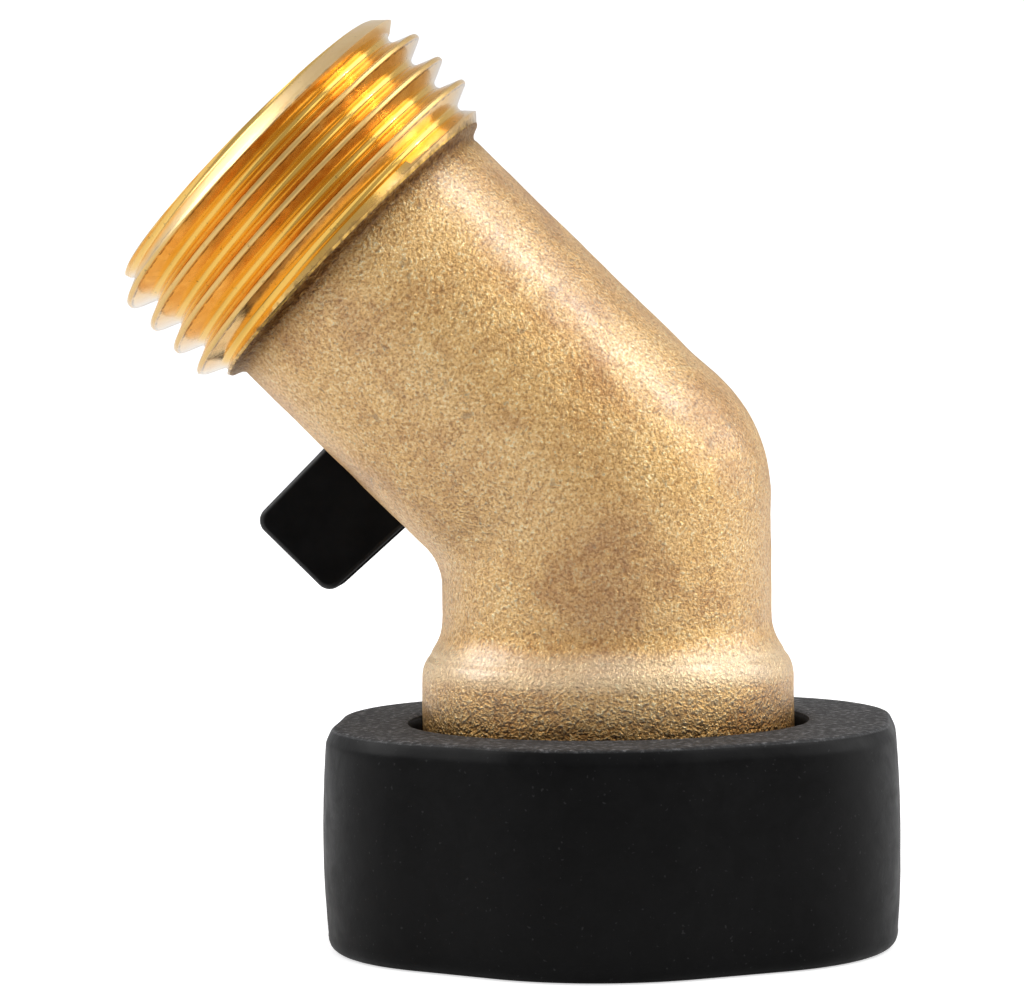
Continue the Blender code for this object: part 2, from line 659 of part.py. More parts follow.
def build_piston(slide):
    """Hollow piston; heights are measured from the stem's mouth, where the joint stands."""
    groove = (HEAD_BOTTOM_Z + HEAD_TOP_Z) / 2.0
    outline = [(STEM_BORE_R + HEAD_DISH, HEAD_TOP_Z), (HEAD_R, HEAD_TOP_Z)]
    outline += groove_outline(HEAD_R, groove)
    outline += [(HEAD_R, HEAD_BOTTOM_Z), (STEM_TUBE_R, HEAD_BOTTOM_Z)]
    outline += [(STEM_TUBE_R, STEM_MOUTH_Z + STEM_MOUTH_EDGE), (STEM_BORE_R + STEM_MOUTH_EDGE, STEM_MOUTH_Z)]
    outline += [(STEM_BORE_R, STEM_MOUTH_Z), (STEM_BORE_R, HEAD_TOP_Z - HEAD_DISH)]
    from_mouth = [(radius, height - STEM_MOUTH_Z) for radius, height in outline]
    turned_part("regulator_piston", from_mouth, slide, BRASS_TURNED, SMALL_STEPS)
    o_ring("piston_head_o_ring", HEAD_R - SEAL_INSET, groove - STEM_MOUTH_Z, slide)


def build_spring(leg):
    """Compression spring between the guide and the piston head."""
    curve = bpy.data.curves.new("regulator_spring", "CURVE")
    curve.dimensions = "3D"
    curve.bevel_depth = SPRING_WIRE_R * MM
    curve.bevel_resolution = SPRING_WIRE_STEPS
    curve.use_fill_caps = True
    spline = curve.splines.new("POLY")
    count = SPRING_TURNS * RING_STEPS + 1
    spline.points.add(count - 1)
    bottom = GUIDE_TOP_Z + PLAY + SPRING_WIRE_R
    rise = HEAD_BOTTOM_Z - PLAY - SPRING_WIRE_R - bottom
    for index, point in enumerate(spline.points):
        share = index / (count - 1)
        angle = tau * SPRING_TURNS * share
        x = SPRING_R * cos(angle) * MM
        y = SPRING_R * sin(angle) * MM
        point.co = (x, y, (bottom + rise * share) * MM, 1.0)
    new_part("regulator_spring", mesh_from_curve(curve, 0.0), leg, STEEL)


def seat_outline(direction):
    """Ball seat on one side of the ball; its hollow face follows the ball at a small clearance."""
    back = CHAMBER_HALF - PLAY
    first = sqrt(SEAT_CLEAR_R ** 2 - SEAT_HOLE_R ** 2)
    hollow = []
    for part in range(SEAT_HOLLOW_STEPS + 1):
        height = first + (SEAT_FACE - first) * part / SEAT_HOLLOW_STEPS
        hollow.append((sqrt(SEAT_CLEAR_R ** 2 - height ** 2), height))
    outline = [(SEAT_HOLE_R, back)] + hollow + [(SEAT_R, SEAT_FACE), (SEAT_R, back)]
    placed = [(radius, BALL_S + direction * height) for radius, height in outline]
    return placed if direction < 0.0 else list(reversed(placed))


def build_seats(arm):
    turned_part("ball_seat_inner", seat_outline(-1.0), arm, WHITE_SEAT, SMALL_STEPS)
    turned_part("ball_seat_outer", seat_outline(1.0), arm, WHITE_SEAT, SMALL_STEPS)
    bottom = BALL_S + CHAMBER_HALF + PLAY
    top = bottom + RETAINER_THICKNESS
    groove = bottom + RETAINER_SEAL
    outline = [(RETAINER_HOLE_R + RETAINER_EDGE, top), (RETAINER_R - RETAINER_EDGE, top)]
    outline.append((RETAINER_R, top - RETAINER_EDGE))
    outline += groove_outline(RETAINER_R, groove) + [(RETAINER_R, bottom)]
    outline += [(RETAINER_HOLE_R, bottom), (RETAINER_HOLE_R, top - RETAINER_EDGE)]
    retainer = turned_part("seat_retainer", outline, arm, BRASS_TURNED, SMALL_STEPS)
    slot_size = (RETAINER_R * 3.0, SPANNER_SLOT_WIDTH, SPANNER_SLOT_DEPTH * 2.0)
    slot = box_mesh("spanner_slot", slot_size, (0.0, 0.0, top))
    cut(retainer, new_tool("spanner_slot", slot, arm))
    o_ring("retainer_o_ring", RETAINER_R - SEAL_INSET, groove, arm)


def build_ball(ball_axis):
    """Ball shown shut: its port crosses the flow, and the stem's slot lies along the flow."""
    mesh = bpy.data.meshes.new("ball")
    sphere = bmesh.new()
    bmesh.ops.create_uvsphere(sphere, u_segments=BALL_COLUMNS, v_segments=BALL_ROWS, radius=BALL_R * MM)
    sphere.to_mesh(mesh)
    sphere.free()
    ball = new_part("ball", mesh, ball_axis, CHROME)
    port_axis = new_axis("port_axis", ball_axis, (0.0, 0.0, 0.0), (0.0, pi / 2.0, 0.0))
    port_half = BALL_R + OVERSHOOT
    port = turned_tool("ball_port", rod_outline(PORT_R, -port_half, port_half), port_axis, SMALL_STEPS)
    slot_size = (BALL_SLOT_WIDTH, BALL_R * 3.0, BALL_R)
    slot = box_mesh("ball_slot", slot_size, (0.0, 0.0, BALL_SLOT_FOOT + BALL_R / 2.0))
    cut(ball, port, new_tool("ball_slot", slot, ball_axis))


def build_stem(ball_axis):
    """Stem: tang in the ball, thrust flange, two seal grooves, and a square under the lever."""
    outline = [(0.0, LEVER_BOTTOM_Y), (STEM_R, LEVER_BOTTOM_Y)]
    outline += groove_outline(STEM_R, UPPER_SEAL_Y) + groove_outline(STEM_R, LOWER_SEAL_Y)
    outline += [(STEM_R, STEM_FLANGE_TOP_Y), (STEM_FLANGE_R, STEM_FLANGE_TOP_Y)]
    outline += [(STEM_FLANGE_R, STEM_FLANGE_BOTTOM_Y), (0.0, STEM_FLANGE_BOTTOM_Y)]
    stem = turned_part("valve_stem", outline, ball_axis, BRASS_TURNED, RING_STEPS)
    square_size = (SQUARE_SIDE, SQUARE_SIDE, SQUARE_TOP_Y - SQUARE_BOTTOM_Y)
    square_centre = (0.0, 0.0, (SQUARE_TOP_Y + SQUARE_BOTTOM_Y) / 2.0)
    square = box_mesh("stem_square", square_size, square_centre)
    tang = box_mesh("stem_tang", (TANG_WIDTH, TANG_LENGTH, TANG_HEIGHT), (0.0, 0.0, TANG_Y))
    join(stem, new_tool("stem_square", square, ball_axis), new_tool("stem_tang", tang, ball_axis))
    tapped = rod_outline(SCREW_R + PLAY, TAPPED_HOLE_FOOT_Y, SQUARE_TOP_Y + OVERSHOOT)
    cut(stem, turned_tool("stem_tapped_hole", tapped, ball_axis, RING_STEPS))
    washer = tube_outline(STEM_FLANGE_R, STEM_HOLE_R, STEM_WASHER_BOTTOM_Y, STEM_WASHER_TOP_Y)
    turned_part("stem_washer", washer, ball_axis, WHITE_SEAT, RING_STEPS)
    o_ring("stem_o_ring_lower", STEM_R - SEAL_INSET, LOWER_SEAL_Y, ball_axis)
    o_ring("stem_o_ring_upper", STEM_R - SEAL_INSET, UPPER_SEAL_Y, ball_axis)


def lever_points():
    """Outline of the lever: round hub, straight bar and small end corners, pointing to -X."""
    half = LEVER_WIDTH / 2.0
    start = atan2(half, -sqrt(LEVER_HUB_R ** 2 - half ** 2))
    points = []
    for part in range(LEVER_HUB_STEPS + 1):
        angle = -start + 2.0 * start * part / LEVER_HUB_STEPS
        points.append((LEVER_HUB_R * cos(angle), LEVER_HUB_R * sin(angle)))
    corner = LEVER_CORNER_R
    for centre_y, first in ((half - corner, pi / 2.0), (-half + corner, pi)):
        for part in range(CORNER_STEPS + 1):
            angle = first + pi / 2.0 * part / CORNER_STEPS
            x = -LEVER_REACH + corner + corner * cos(angle)
            points.append((x, centre_y + corner * sin(angle)))
    return points


def build_lever(ball_axis):
    thickness = LEVER_TOP_Y - LEVER_BOTTOM_Y
    mesh = plate_mesh("lever_handle", lever_points(), thickness, LEVER_BOTTOM_Y)
    lever = new_part("lever_handle", mesh, ball_axis, BLACK_PLASTIC)
    edges = lever.modifiers.new("soft_edges", "BEVEL")
    edges.width = LEVER_EDGE * MM
    edges.segments = LEVER_EDGE_STEPS
    edges.angle_limit = LEVER_EDGE_ANGLE
    hole_side = SQUARE_SIDE + 2.0 * PLAY
    hole_size = (hole_side, hole_side, thickness * 2.0)
    square = box_mesh("lever_square", hole_size, (0.0, 0.0, LEVER_BOTTOM_Y))
    recess = rod_outline(LEVER_RECESS_R, LEVER_RECESS_Y, LEVER_TOP_Y + OVERSHOOT)
    cut(lever, new_tool("lever_square", square, ball_axis))
    cut(lever, turned_tool("lever_recess", recess, ball_axis, RING_STEPS))
    build_lever_screw(ball_axis)


def build_lever_screw(ball_axis):
    """Cross-head screw and its washer, in the recess of the lever's hub."""
    washer = tube_outline(LEVER_WASHER_R, SCREW_R + PLAY, LEVER_RECESS_Y + PLAY, LEVER_WASHER_TOP_Y)
    turned_part("lever_washer", washer, ball_axis, STEEL, RING_STEPS)
    outline = [(0.0, SCREW_TOP_Y)] + list(SCREW_CROWN)
    outline += [(SCREW_HEAD_R, SCREW_RIM_Y), (SCREW_HEAD_R, SCREW_HEAD_Y), (SCREW_R, SCREW_HEAD_Y)]
    outline += [(SCREW_R, SCREW_TIP_Y), (0.0, SCREW_TIP_Y)]
    screw = turned_part("lever_screw", outline, ball_axis, STEEL, RING_STEPS)
    depth = SCREW_CROSS_DEPTH * 2.0
    sizes = ((SCREW_CROSS_LENGTH, SCREW_CROSS_WIDTH, depth), (SCREW_CROSS_WIDTH, SCREW_CROSS_LENGTH, depth))
    for index, size in enumerate(sizes):
        name = f"screw_recess_{index + 1}"
        cut(screw, new_tool(name, box_mesh(name, size, (0.0, 0.0, SCREW_TOP_Y)), ball_axis))


def build():
    swivel = new_axis("swivel_axis", None, (SWIVEL_X, 0.0, 0.0))
    leg = new_axis("leg_axis", None, (SWIVEL_X, 0.0, 0.0))
    arm = new_axis("arm_axis", leg, (0.0, 0.0, BEND_Z), (0.0, -BEND_ANGLE, 0.0))
    ball_axis = new_axis("lever_axis", arm, (0.0, 0.0, BALL_S), (-pi / 2.0, 0.0, 0.0))
    slide = new_axis("piston_axis", leg, (0.0, 0.0, STEM_MOUTH_Z))
    build_elbow(leg, arm, ball_axis)
    build_swivel(swivel)
    build_clip(leg)
    build_plug(leg)
    build_guide(leg)
    build_spring(leg)
    build_piston(slide)
    build_seats(arm)
    build_ball(ball_axis)
    build_stem(ball_axis)
    build_lever(ball_axis)


clear_scene()
PARTS = new_collection("water_pressure_regulator")
TOOLS = new_collection("tools")
build()
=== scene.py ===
"""Looks of the water pressure regulator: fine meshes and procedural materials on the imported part.

Lengths in the shape functions are millimetres in a local frame. The leg frame stands on the swivel
axis with +Z up. The arm frame starts at the bend and runs along the outlet arm. The valve frame
starts at the ball and runs along the stem. Names that end in _Z are heights in the leg frame, in _S
distances along the arm frame, and in _Y distances along the valve frame.
"""
import json
import math

import bmesh
import bpy
import numpy as np
from mathutils import Matrix, Vector, noise


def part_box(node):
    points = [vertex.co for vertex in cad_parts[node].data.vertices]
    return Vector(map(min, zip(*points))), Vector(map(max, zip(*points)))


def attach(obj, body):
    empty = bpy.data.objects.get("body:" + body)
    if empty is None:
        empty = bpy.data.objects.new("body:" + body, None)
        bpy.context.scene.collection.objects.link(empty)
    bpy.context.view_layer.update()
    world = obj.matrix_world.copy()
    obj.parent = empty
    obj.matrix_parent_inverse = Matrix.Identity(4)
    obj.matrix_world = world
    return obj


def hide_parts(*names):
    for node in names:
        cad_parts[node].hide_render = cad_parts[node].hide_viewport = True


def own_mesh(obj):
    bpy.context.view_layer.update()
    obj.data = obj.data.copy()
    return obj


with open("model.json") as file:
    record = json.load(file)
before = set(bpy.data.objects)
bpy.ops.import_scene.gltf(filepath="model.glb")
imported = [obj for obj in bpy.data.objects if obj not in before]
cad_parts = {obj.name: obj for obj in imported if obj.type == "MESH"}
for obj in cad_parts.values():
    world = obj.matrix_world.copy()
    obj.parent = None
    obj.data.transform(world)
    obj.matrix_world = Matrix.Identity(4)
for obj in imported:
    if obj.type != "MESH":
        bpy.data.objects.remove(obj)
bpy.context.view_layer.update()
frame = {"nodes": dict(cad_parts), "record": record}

MM = 0.001
TAU = math.tau
JOINTS = {joint["name"]: joint for joint in frame["record"]["behaviour"]["joints"]}
MOUNTS = {mount["name"]: mount for mount in frame["record"]["mounts"]}
SWIVEL = Vector(JOINTS["nut_swivel"]["pos_m"])
BALL = Vector(JOINTS["lever_turn"]["pos_m"])
ARM_DIRECTION = Vector(MOUNTS["outlet_face"]["axis"]).normalized()
OUTLET = Vector(MOUNTS["outlet_face"]["pos_m"])
BALL_S = (BALL.x - SWIVEL.x) / ARM_DIRECTION.x / MM
BEND = BALL - ARM_DIRECTION * BALL_S * MM
ARM_LENGTH = (OUTLET - BEND).dot(ARM_DIRECTION) / MM
BEND_Z = BEND.z / MM
BEND_ANGLE = math.acos(ARM_DIRECTION.z)
UP = (0.0, 0.0, 1.0)
LEG_AXIS = (UP, tuple(SWIVEL))
ARM_AXIS = (tuple(ARM_DIRECTION), tuple(BEND))

# Elbow
COLUMNS = 288
LEG_R = 11.2
ARM_R = 11.08
COLLAR_R = 12.65
INLET_FACE_Z = 10.4
CROTCH_FILLET = 2.4
CROTCH_BLEND = 1.1
SHOULDER_S = 23.9
PITCH = 25.4 / 11.5
THREAD_DEPTH = 1.6
FLANK = 0.98
CREST_R = 13.44
ROOT_R = CREST_R - THREAD_DEPTH
RIM_CHAMFER = 1.42
FIRST_ROOT_FROM_END = 2.3
OUTLET_BORE_R = 9.3
CHAMBER_R = 8.0
CHAMBER_HALF = 7.7
ARM_WATERWAY_R = 6.2
LEG_WATERWAY_R = 7.3
PISTON_BORE_R = 8.9
PISTON_BORE_TOP_Z = 28.3
COUNTERBORE_R = 10.0
COUNTERBORE_TOP_Z = 19.1
CLIP_GROOVE_R = 11.6
CLIP_BOTTOM_Z = 11.0
CLIP_TOP_Z = 12.5
CAST_FOOT_Z = 12.6
BOSS_R = 6.0
BOSS_TOP_Y = 14.5
BOSS_EDGE_R = 0.35
BOSS_FLARE_R = 2.2
BOSS_FOOT_R = 8.4
BOSS_FOOT_Y = 8.0
STEM_BORE_R = 3.4
FLANGE_ROOM_R = 4.3
FLANGE_ROOM_Y = 9.6
VENT_R = 0.7
VENT_Z = 22.3

# Swivel nut and grip
GRIP_HEIGHT = 15.1
GRIP_APOTHEM = 19.45
GRIP_CORNER_R = 13.8
GRIP_BARREL = 0.35
GRIP_LIP_Z = 13.4
GRIP_HOLE_R = 13.6
NUT_APOTHEM = 16.0
NUT_CORNER_R = 9.0
NUT_ROOT_R = 13.75
NUT_NECK_R = 12.95
NUT_THREAD_START = 0.5
NUT_THREAD_END = 7.7

# Washer, strainer and spring
WASHER_R = 13.3
WASHER_FACE_R = 11.9
WASHER_HOLE_R = 8.5
WASHER_BOTTOM_Z = 7.9
WASHER_TOP_Z = 10.0
SCREEN_R = 8.2
SCREEN_HOLE_R = 7.3
SCREEN_BOTTOM_Z = 8.2
SCREEN_TOP_Z = 9.4
DOME_R = 7.6
DOME_RISE = 1.75
WIRE_SPACING = 0.62
WIRE_R = 0.085
SPRING_WIRE_R = 0.5
SPRING_COIL_R = 6.5
SPRING_TURNS = 5.5
SPRING_GROUND = 0.15

# Valve
BALL_R = 7.0
BALL_PORT_R = 4.6
SEAT_HOLLOW_R = 7.3
RETAINER_R = 9.0
RETAINER_GROOVE_R = 7.8
RETAINER_HOLE_R = 5.6
LEVER_BOTTOM_Y = 14.8
LEVER_TOP_Y = 19.4
LEVER_DRAFT = 0.03
LEVER_HUB_R = 5.35
LEVER_REACH = 20.2
LEVER_NECK = 5.05
LEVER_TIP = 4.05
LEVER_FAR_SIDE = 3.6
SCREW_FOOT_Y = 14.6
SCREW_HEAD_Y = 19.1

# Camera: a long lens, a little above the part and to its right
CAMERA_DISTANCE = 320.0
CAMERA_AZIMUTH = math.radians(4.514)
CAMERA_ELEVATION = math.radians(3.218)
CAMERA_ROLL = math.radians(-0.756)
CAMERA_AIM_X = -6.355
CAMERA_AIM_Z = 30.313
CAMERA_FOCAL = 165.5


# ---- meshes

class LocalFrame:
    """Places (radius, angle, height) points of a turned or lofted shape in the world."""

    def __init__(self, origin, side, along):
        self.origin = np.array(origin)
        self.side = np.array(side)
        self.along = np.array(along)
        self.cross = np.cross(self.along, self.side)

    def ring(self, radii, heights, angles):
        radii = np.broadcast_to(radii, angles.shape)
        heights = np.broadcast_to(heights, angles.shape)
        out = np.outer(radii * np.cos(angles), self.side)
        out += np.outer(radii * np.sin(angles), self.cross)
        out += np.outer(heights, self.along)
        return self.origin + out * MM

    def rings(self, outline, angles):
        return [self.ring(radius, height, angles) for radius, height in outline]


LEG = LocalFrame(SWIVEL, (1.0, 0.0, 0.0), (0.0, 0.0, 1.0))
ARM_SIDE = Vector((math.cos(BEND_ANGLE), 0.0, math.sin(BEND_ANGLE)))
ARM = LocalFrame(BEND, ARM_SIDE, ARM_DIRECTION)
VALVE = LocalFrame(BALL, ARM_SIDE, (0.0, 1.0, 0.0))


def new_object(name, data):
    """Link a new object to the scene."""
    item = bpy.data.objects.new(name, data)
    bpy.context.scene.collection.objects.link(item)
    return item


def column_angles(count):
    return np.linspace(0.0, TAU, count + 1)


def mesh_from_rows(name, rows, closed=True, looks=None):
    """Skin rows of ring points; the last column repeats the first and is welded to it."""
    grid = np.array(rows)
    row_count, columns = grid.shape[:2]
    spans = row_count if closed else row_count - 1
    first = np.arange(spans)[:, None] * columns + np.arange(columns - 1)[None, :]
    after = (first + columns) % (row_count * columns)
    quads = np.stack((first, first + 1, after + 1, after), axis=-1).reshape(-1, 4)
    mesh = bpy.data.meshes.new(name)
    mesh.from_pydata(grid.reshape(-1, 3).tolist(), [], quads.tolist())
    if looks is not None:
        mesh.polygons.foreach_set("material_index", np.repeat(looks[:spans], columns - 1))
    skin = bmesh.new()
    skin.from_mesh(mesh)
    bmesh.ops.remove_doubles(skin, verts=skin.verts, dist=0.0000008)
    if not closed:
        bmesh.ops.holes_fill(skin, edges=[edge for edge in skin.edges if edge.is_boundary], sides=0)
    bmesh.ops.recalc_face_normals(skin, faces=skin.faces)
    skin.to_mesh(mesh)
    skin.free()
    return mesh


def add_piece(name, mesh, body, slot, looks, replaces, sharp=35.0):
    """Link a finished mesh as a piece of the part, in its slot's material if it has none yet."""
    piece = new_object(name, mesh)
    if not mesh.materials:
        mesh.materials.append(looks[slot])
    mesh.shade_smooth()
    mesh.set_sharp_from_angle(angle=math.radians(sharp))
    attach(piece, body)
    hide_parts(replaces)
    return piece


def apply_booleans(mesh, cutters, operation="DIFFERENCE"):
    """Combine a mesh with others and return the result; the other meshes are used up."""
    base = new_object(mesh.name + "_work", mesh)
    tools = []
    for index, cutter in enumerate(cutters):
        tool = new_object(f"{mesh.name}_tool_{index}", cutter)
        tools.append(tool)
        modifier = base.modifiers.new(f"step_{index}", "BOOLEAN")
        modifier.operation = operation
        modifier.object = tool
        modifier.solver = "EXACT"
    evaluated = base.evaluated_get(bpy.context.evaluated_depsgraph_get())
    result = bpy.data.meshes.new_from_object(evaluated)
    result.name = mesh.name
    for item in [base] + tools:
        bpy.data.objects.remove(item, do_unlink=True)
    return result


def arc(centre, radius, start, end, steps):
    """(radius, height) points on an arc, with its angles in degrees from the outward direction."""
    angles = np.radians(np.linspace(start, end, steps + 1))
    return [(centre[0] + radius * math.cos(a), centre[1] + radius * math.sin(a)) for a in angles]


def turned_mesh(name, local, outline, columns=128):
    """A turned body; an outline that starts and ends on the axis is closed by its own poles."""
    angles = column_angles(columns)
    closed = outline[0][0] > 0.0
    return mesh_from_rows(name, local.rings(outline, angles), closed)


def rod(radius, bottom, top):
    """Outline of a plain round rod, from its top pole to its bottom one."""
    return [(0.0, top), (radius, top), (radius, bottom), (0.0, bottom)]


def box_mesh(name, local, size, centre):
    """A block in a local frame, given as side, cross and along sizes."""
    block = bmesh.new()
    bmesh.ops.create_cube(block, size=1.0)
    axes = [Vector(local.side), Vector(local.cross), Vector(local.along)]
    for vertex in block.verts:
        offset = [vertex.co[axis] * size[axis] + centre[axis] for axis in range(3)]
        moved = sum((axes[axis] * offset[axis] for axis in range(3)), Vector())
        vertex.co = Vector(local.origin) + moved * MM
    mesh = bpy.data.meshes.new(name)
    block.to_mesh(mesh)
    block.free()
    return mesh


def rough_noise(point, scale):
    """Smooth noise between -1 and 1 with the given size of its lumps in millimetres."""
    return noise.noise(Vector(point) / (scale * MM))


def hexagon_radius(angles, apothem, corner_radius):
    """Distance from the axis to a rounded hexagon that has a corner towards -Y."""
    off_corner = np.abs((angles + math.pi / 2.0 + math.pi / 6.0) % (math.pi / 3.0) - math.pi / 6.0)
    centre = (apothem - corner_radius) / math.cos(math.pi / 6.0)
    arc_end = math.pi / 6.0 - math.atan2(centre * 0.5, apothem)
    reach = np.sqrt(corner_radius ** 2 - (centre * np.sin(off_corner)) ** 2)
    on_arc = centre * np.cos(off_corner) + reach
    on_flat = apothem / np.cos(math.pi / 6.0 - off_corner)
    return np.where(off_corner < arc_end, on_arc, on_flat)


# ---- threads

def thread_stations(start, end, roots, offsets, knees):
    """Rows of axial positions, one per root or crest edge, that follow a right-hand thread."""
    turns = int((end - start) / PITCH) + 3
    rows = [np.full_like(roots, knee) for knee in knees]
    for turn in range(-turns, turns + 1):
        for offset in offsets:
            rows.append(np.clip(roots + turn * PITCH + offset, start, end))
    return np.sort(np.array(rows), axis=0)


# Height of the thread at distances from its root
THREAD_KNOTS = (
    (0.06, 0.003), (0.13, 0.014), (0.21, 0.038), (0.28, 0.072), (0.34, 0.119),
    (FLANK - 0.08, 0.92), (FLANK - 0.02, 0.98), (FLANK + 0.05, 1.0),
)
THREAD_OFFSETS = [-away for away, height in THREAD_KNOTS] + [away for away, height in THREAD_KNOTS]


def thread_height(positions, roots):
    """0 in the rounded root and 1 on the crest."""
    off_root = np.abs((positions - roots + PITCH / 2.0) % PITCH - PITCH / 2.0)
    knots = [(0.0, 0.0)] + list(THREAD_KNOTS)
    return np.interp(off_root, [away for away, height in knots], [height for away, height in knots])


def male_thread_rows(angles):
    """Rows of the outlet thread from its shoulder to the rim."""
    start = SHOULDER_S + 0.25
    roots = ARM_LENGTH - FIRST_ROOT_FROM_END - 0.05 + PITCH * (angles + math.pi / 2.0) / TAU
    knees = (ARM_LENGTH - RIM_CHAMFER, ARM_LENGTH - RIM_CHAMFER + 0.12, ARM_LENGTH - 0.10)
    rows = []
    for stations in thread_stations(start, ARM_LENGTH, roots, THREAD_OFFSETS, knees):
        crest = ROOT_R + THREAD_DEPTH * thread_height(stations, roots)
        run_in = ROOT_R + 0.28 + (stations - start) * 0.95
        rim = CREST_R - RIM_CHAMFER + (ARM_LENGTH - stations)
        rim -= np.where(stations > ARM_LENGTH - 0.05, 0.1, 0.0)
        rows.append(ARM.ring(np.minimum(np.minimum(crest, run_in), rim), stations, angles))
    return rows


# ---- elbow casting

# Height and radius of the collar's rounded edge, its crease and the neck above
LEG_PROFILE = (
    (17.9, 12.65), (18.3, 12.63), (18.7, 12.56), (19.05, 12.44), (19.32, 12.30), (19.50, 12.16),
    (19.65, 12.045), (19.76, 11.99), (19.86, 11.955), (19.98, 11.895), (20.15, 11.79), (20.45, 11.61),
    (20.85, 11.43), (21.30, 11.29), (21.80, 11.22), (22.40, 11.20),
)


def leg_radius(height):
    """Outer radius of the inlet leg: collar with a rounded top edge, crease, flared neck, leg."""
    heights, radii = zip(*LEG_PROFILE)
    return np.interp(height, heights, radii)


def smooth_union(first, second, blend):
    overlap = np.maximum(blend - np.abs(first - second), 0.0) / np.maximum(blend, 1e-6)
    return np.minimum(first, second) - overlap * overlap * blend * 0.25


def skin_distance(points, angles):
    """Signed distance to the elbow's outer skin, in millimetres from the swivel axis' foot."""
    from_bend = points - np.array((0.0, 0.0, BEND_Z))
    direction = np.array(ARM_DIRECTION)
    along = from_bend @ direction
    to_bend = np.linalg.norm(from_bend, axis=1)
    off_leg = np.hypot(points[:, 0], points[:, 1]) - leg_radius(points[:, 2])
    leg = np.where(points[:, 2] < BEND_Z, off_leg, to_bend - LEG_R)
    off_arm = np.linalg.norm(from_bend - np.outer(along, direction), axis=1)
    arm = np.where(along > 0.0, off_arm, to_bend) - ARM_R
    inner = 0.25 + 0.75 * ((1.0 - np.cos(angles)) / 2.0) ** 2
    return smooth_union(leg, arm, CROTCH_BLEND * inner)


def cross_rays(side, angles):
    return np.outer(np.cos(angles), side) + np.outer(np.sin(angles), (0.0, 1.0, 0.0))


def skin_radii(centre, side, angles):
    """Distance from a point on the waterway's line to the skin, round one cross-section."""
    rays = cross_rays(side, angles)
    low = np.full_like(angles, 6.0)
    high = np.full_like(angles, 19.0)
    for _ in range(34):
        middle = (low + high) / 2.0
        outside = skin_distance(centre + rays * middle[:, None], angles) > 0.0
        high = np.where(outside, middle, high)
        low = np.where(outside, low, middle)
    return (low + high) / 2.0


class Bend:
    """Cross-sections that turn about the centre of the crotch fillet, from the leg to the arm."""

    def __init__(self):
        reach = LEG_R + CROTCH_FILLET
        self.pivot_x = -reach
        self.arm_reach = ARM_R + CROTCH_FILLET
        self.pivot_z = BEND_Z + reach - self.arm_reach / math.cos(BEND_ANGLE)
        self.leg_reach = reach
        self.arm_s = (reach + self.pivot_z - BEND_Z) * math.cos(BEND_ANGLE)

    def section(self, share):
        """Centre and side direction of the cross-section at a share of the way round."""
        angle = BEND_ANGLE * share
        side = np.array((math.cos(angle), 0.0, math.sin(angle)))
        reach = self.leg_reach + (self.arm_reach - self.leg_reach) * share
        return np.array((self.pivot_x, 0.0, self.pivot_z)) + side * reach, side


BENDING = Bend()


def section_ring(centre, side, radii, angles):
    return np.array(SWIVEL) + (centre + cross_rays(side, angles) * radii[:, None]) * MM


def cast_rows(angles):
    """Outer cast skin from the top of the clip groove to the thread's shoulder."""
    heights = np.concatenate((
        np.arange(CAST_FOOT_Z, 18.0, 0.3), np.arange(18.0, 20.2, 0.06),
        np.arange(20.2, BENDING.pivot_z, 0.24),
    ))
    sections = [(np.array((0.0, 0.0, height)), np.array((1.0, 0.0, 0.0))) for height in heights]
    sections += [BENDING.section(share) for share in np.linspace(0.0, 1.0, 80)]
    for along in np.arange(BENDING.arm_s + 0.24, SHOULDER_S - 0.75, 0.24):
        centre = np.array((0.0, 0.0, BEND_Z)) + np.array(ARM_DIRECTION) * along
        sections.append((centre, np.array(ARM_SIDE)))
    return [section_ring(centre, side, skin_radii(centre, side, angles), angles) for centre, side in sections]


def bore_rows(angles):
    """Inner surfaces from the outlet rim back to the inlet face."""
    chamber_end = BALL_S + CHAMBER_HALF
    chamber_start = BALL_S - CHAMBER_HALF
    arm_bore = [(ROOT_R - 0.75, ARM_LENGTH), (OUTLET_BORE_R + 0.95, ARM_LENGTH)]
    arm_bore += [(OUTLET_BORE_R + 0.8, ARM_LENGTH - 0.08), (OUTLET_BORE_R + 0.05, ARM_LENGTH - 0.85)]
    arm_bore += [(OUTLET_BORE_R, ARM_LENGTH - 1.0), (OUTLET_BORE_R, chamber_end + 0.02)]
    arm_bore += [(OUTLET_BORE_R - 0.02, chamber_end), (CHAMBER_R, chamber_end)]
    arm_bore += [(CHAMBER_R, chamber_start), (ARM_WATERWAY_R, chamber_start)]
    rows = ARM.rings(arm_bore, angles)
    for share in np.linspace(1.0, 0.0, 16):
        centre, side = BENDING.section(share)
        radius = LEG_WATERWAY_R + (ARM_WATERWAY_R - LEG_WATERWAY_R) * share
        rows.append(section_ring(centre, side, np.full_like(angles, radius), angles))
    return rows


def leg_end_rows(angles):
    """Leg bores, inlet face and the clip groove, back to the start of the cast skin."""
    stop = BENDING.pivot_z - 0.4
    outline = [(LEG_WATERWAY_R, stop), (PISTON_BORE_R, stop)]
    outline += [(PISTON_BORE_R, COUNTERBORE_TOP_Z), (COUNTERBORE_R, COUNTERBORE_TOP_Z)]
    outline += [(COUNTERBORE_R, INLET_FACE_Z + 0.3), (COUNTERBORE_R + 0.3, INLET_FACE_Z)]
    outline += [(COLLAR_R - 0.2, INLET_FACE_Z), (COLLAR_R, INLET_FACE_Z + 0.2), (COLLAR_R, CLIP_BOTTOM_Z)]
    outline += [(CLIP_GROOVE_R, CLIP_BOTTOM_Z), (CLIP_GROOVE_R, CLIP_TOP_Z), (COLLAR_R, CLIP_TOP_Z)]
    return LEG.rings(outline, angles)


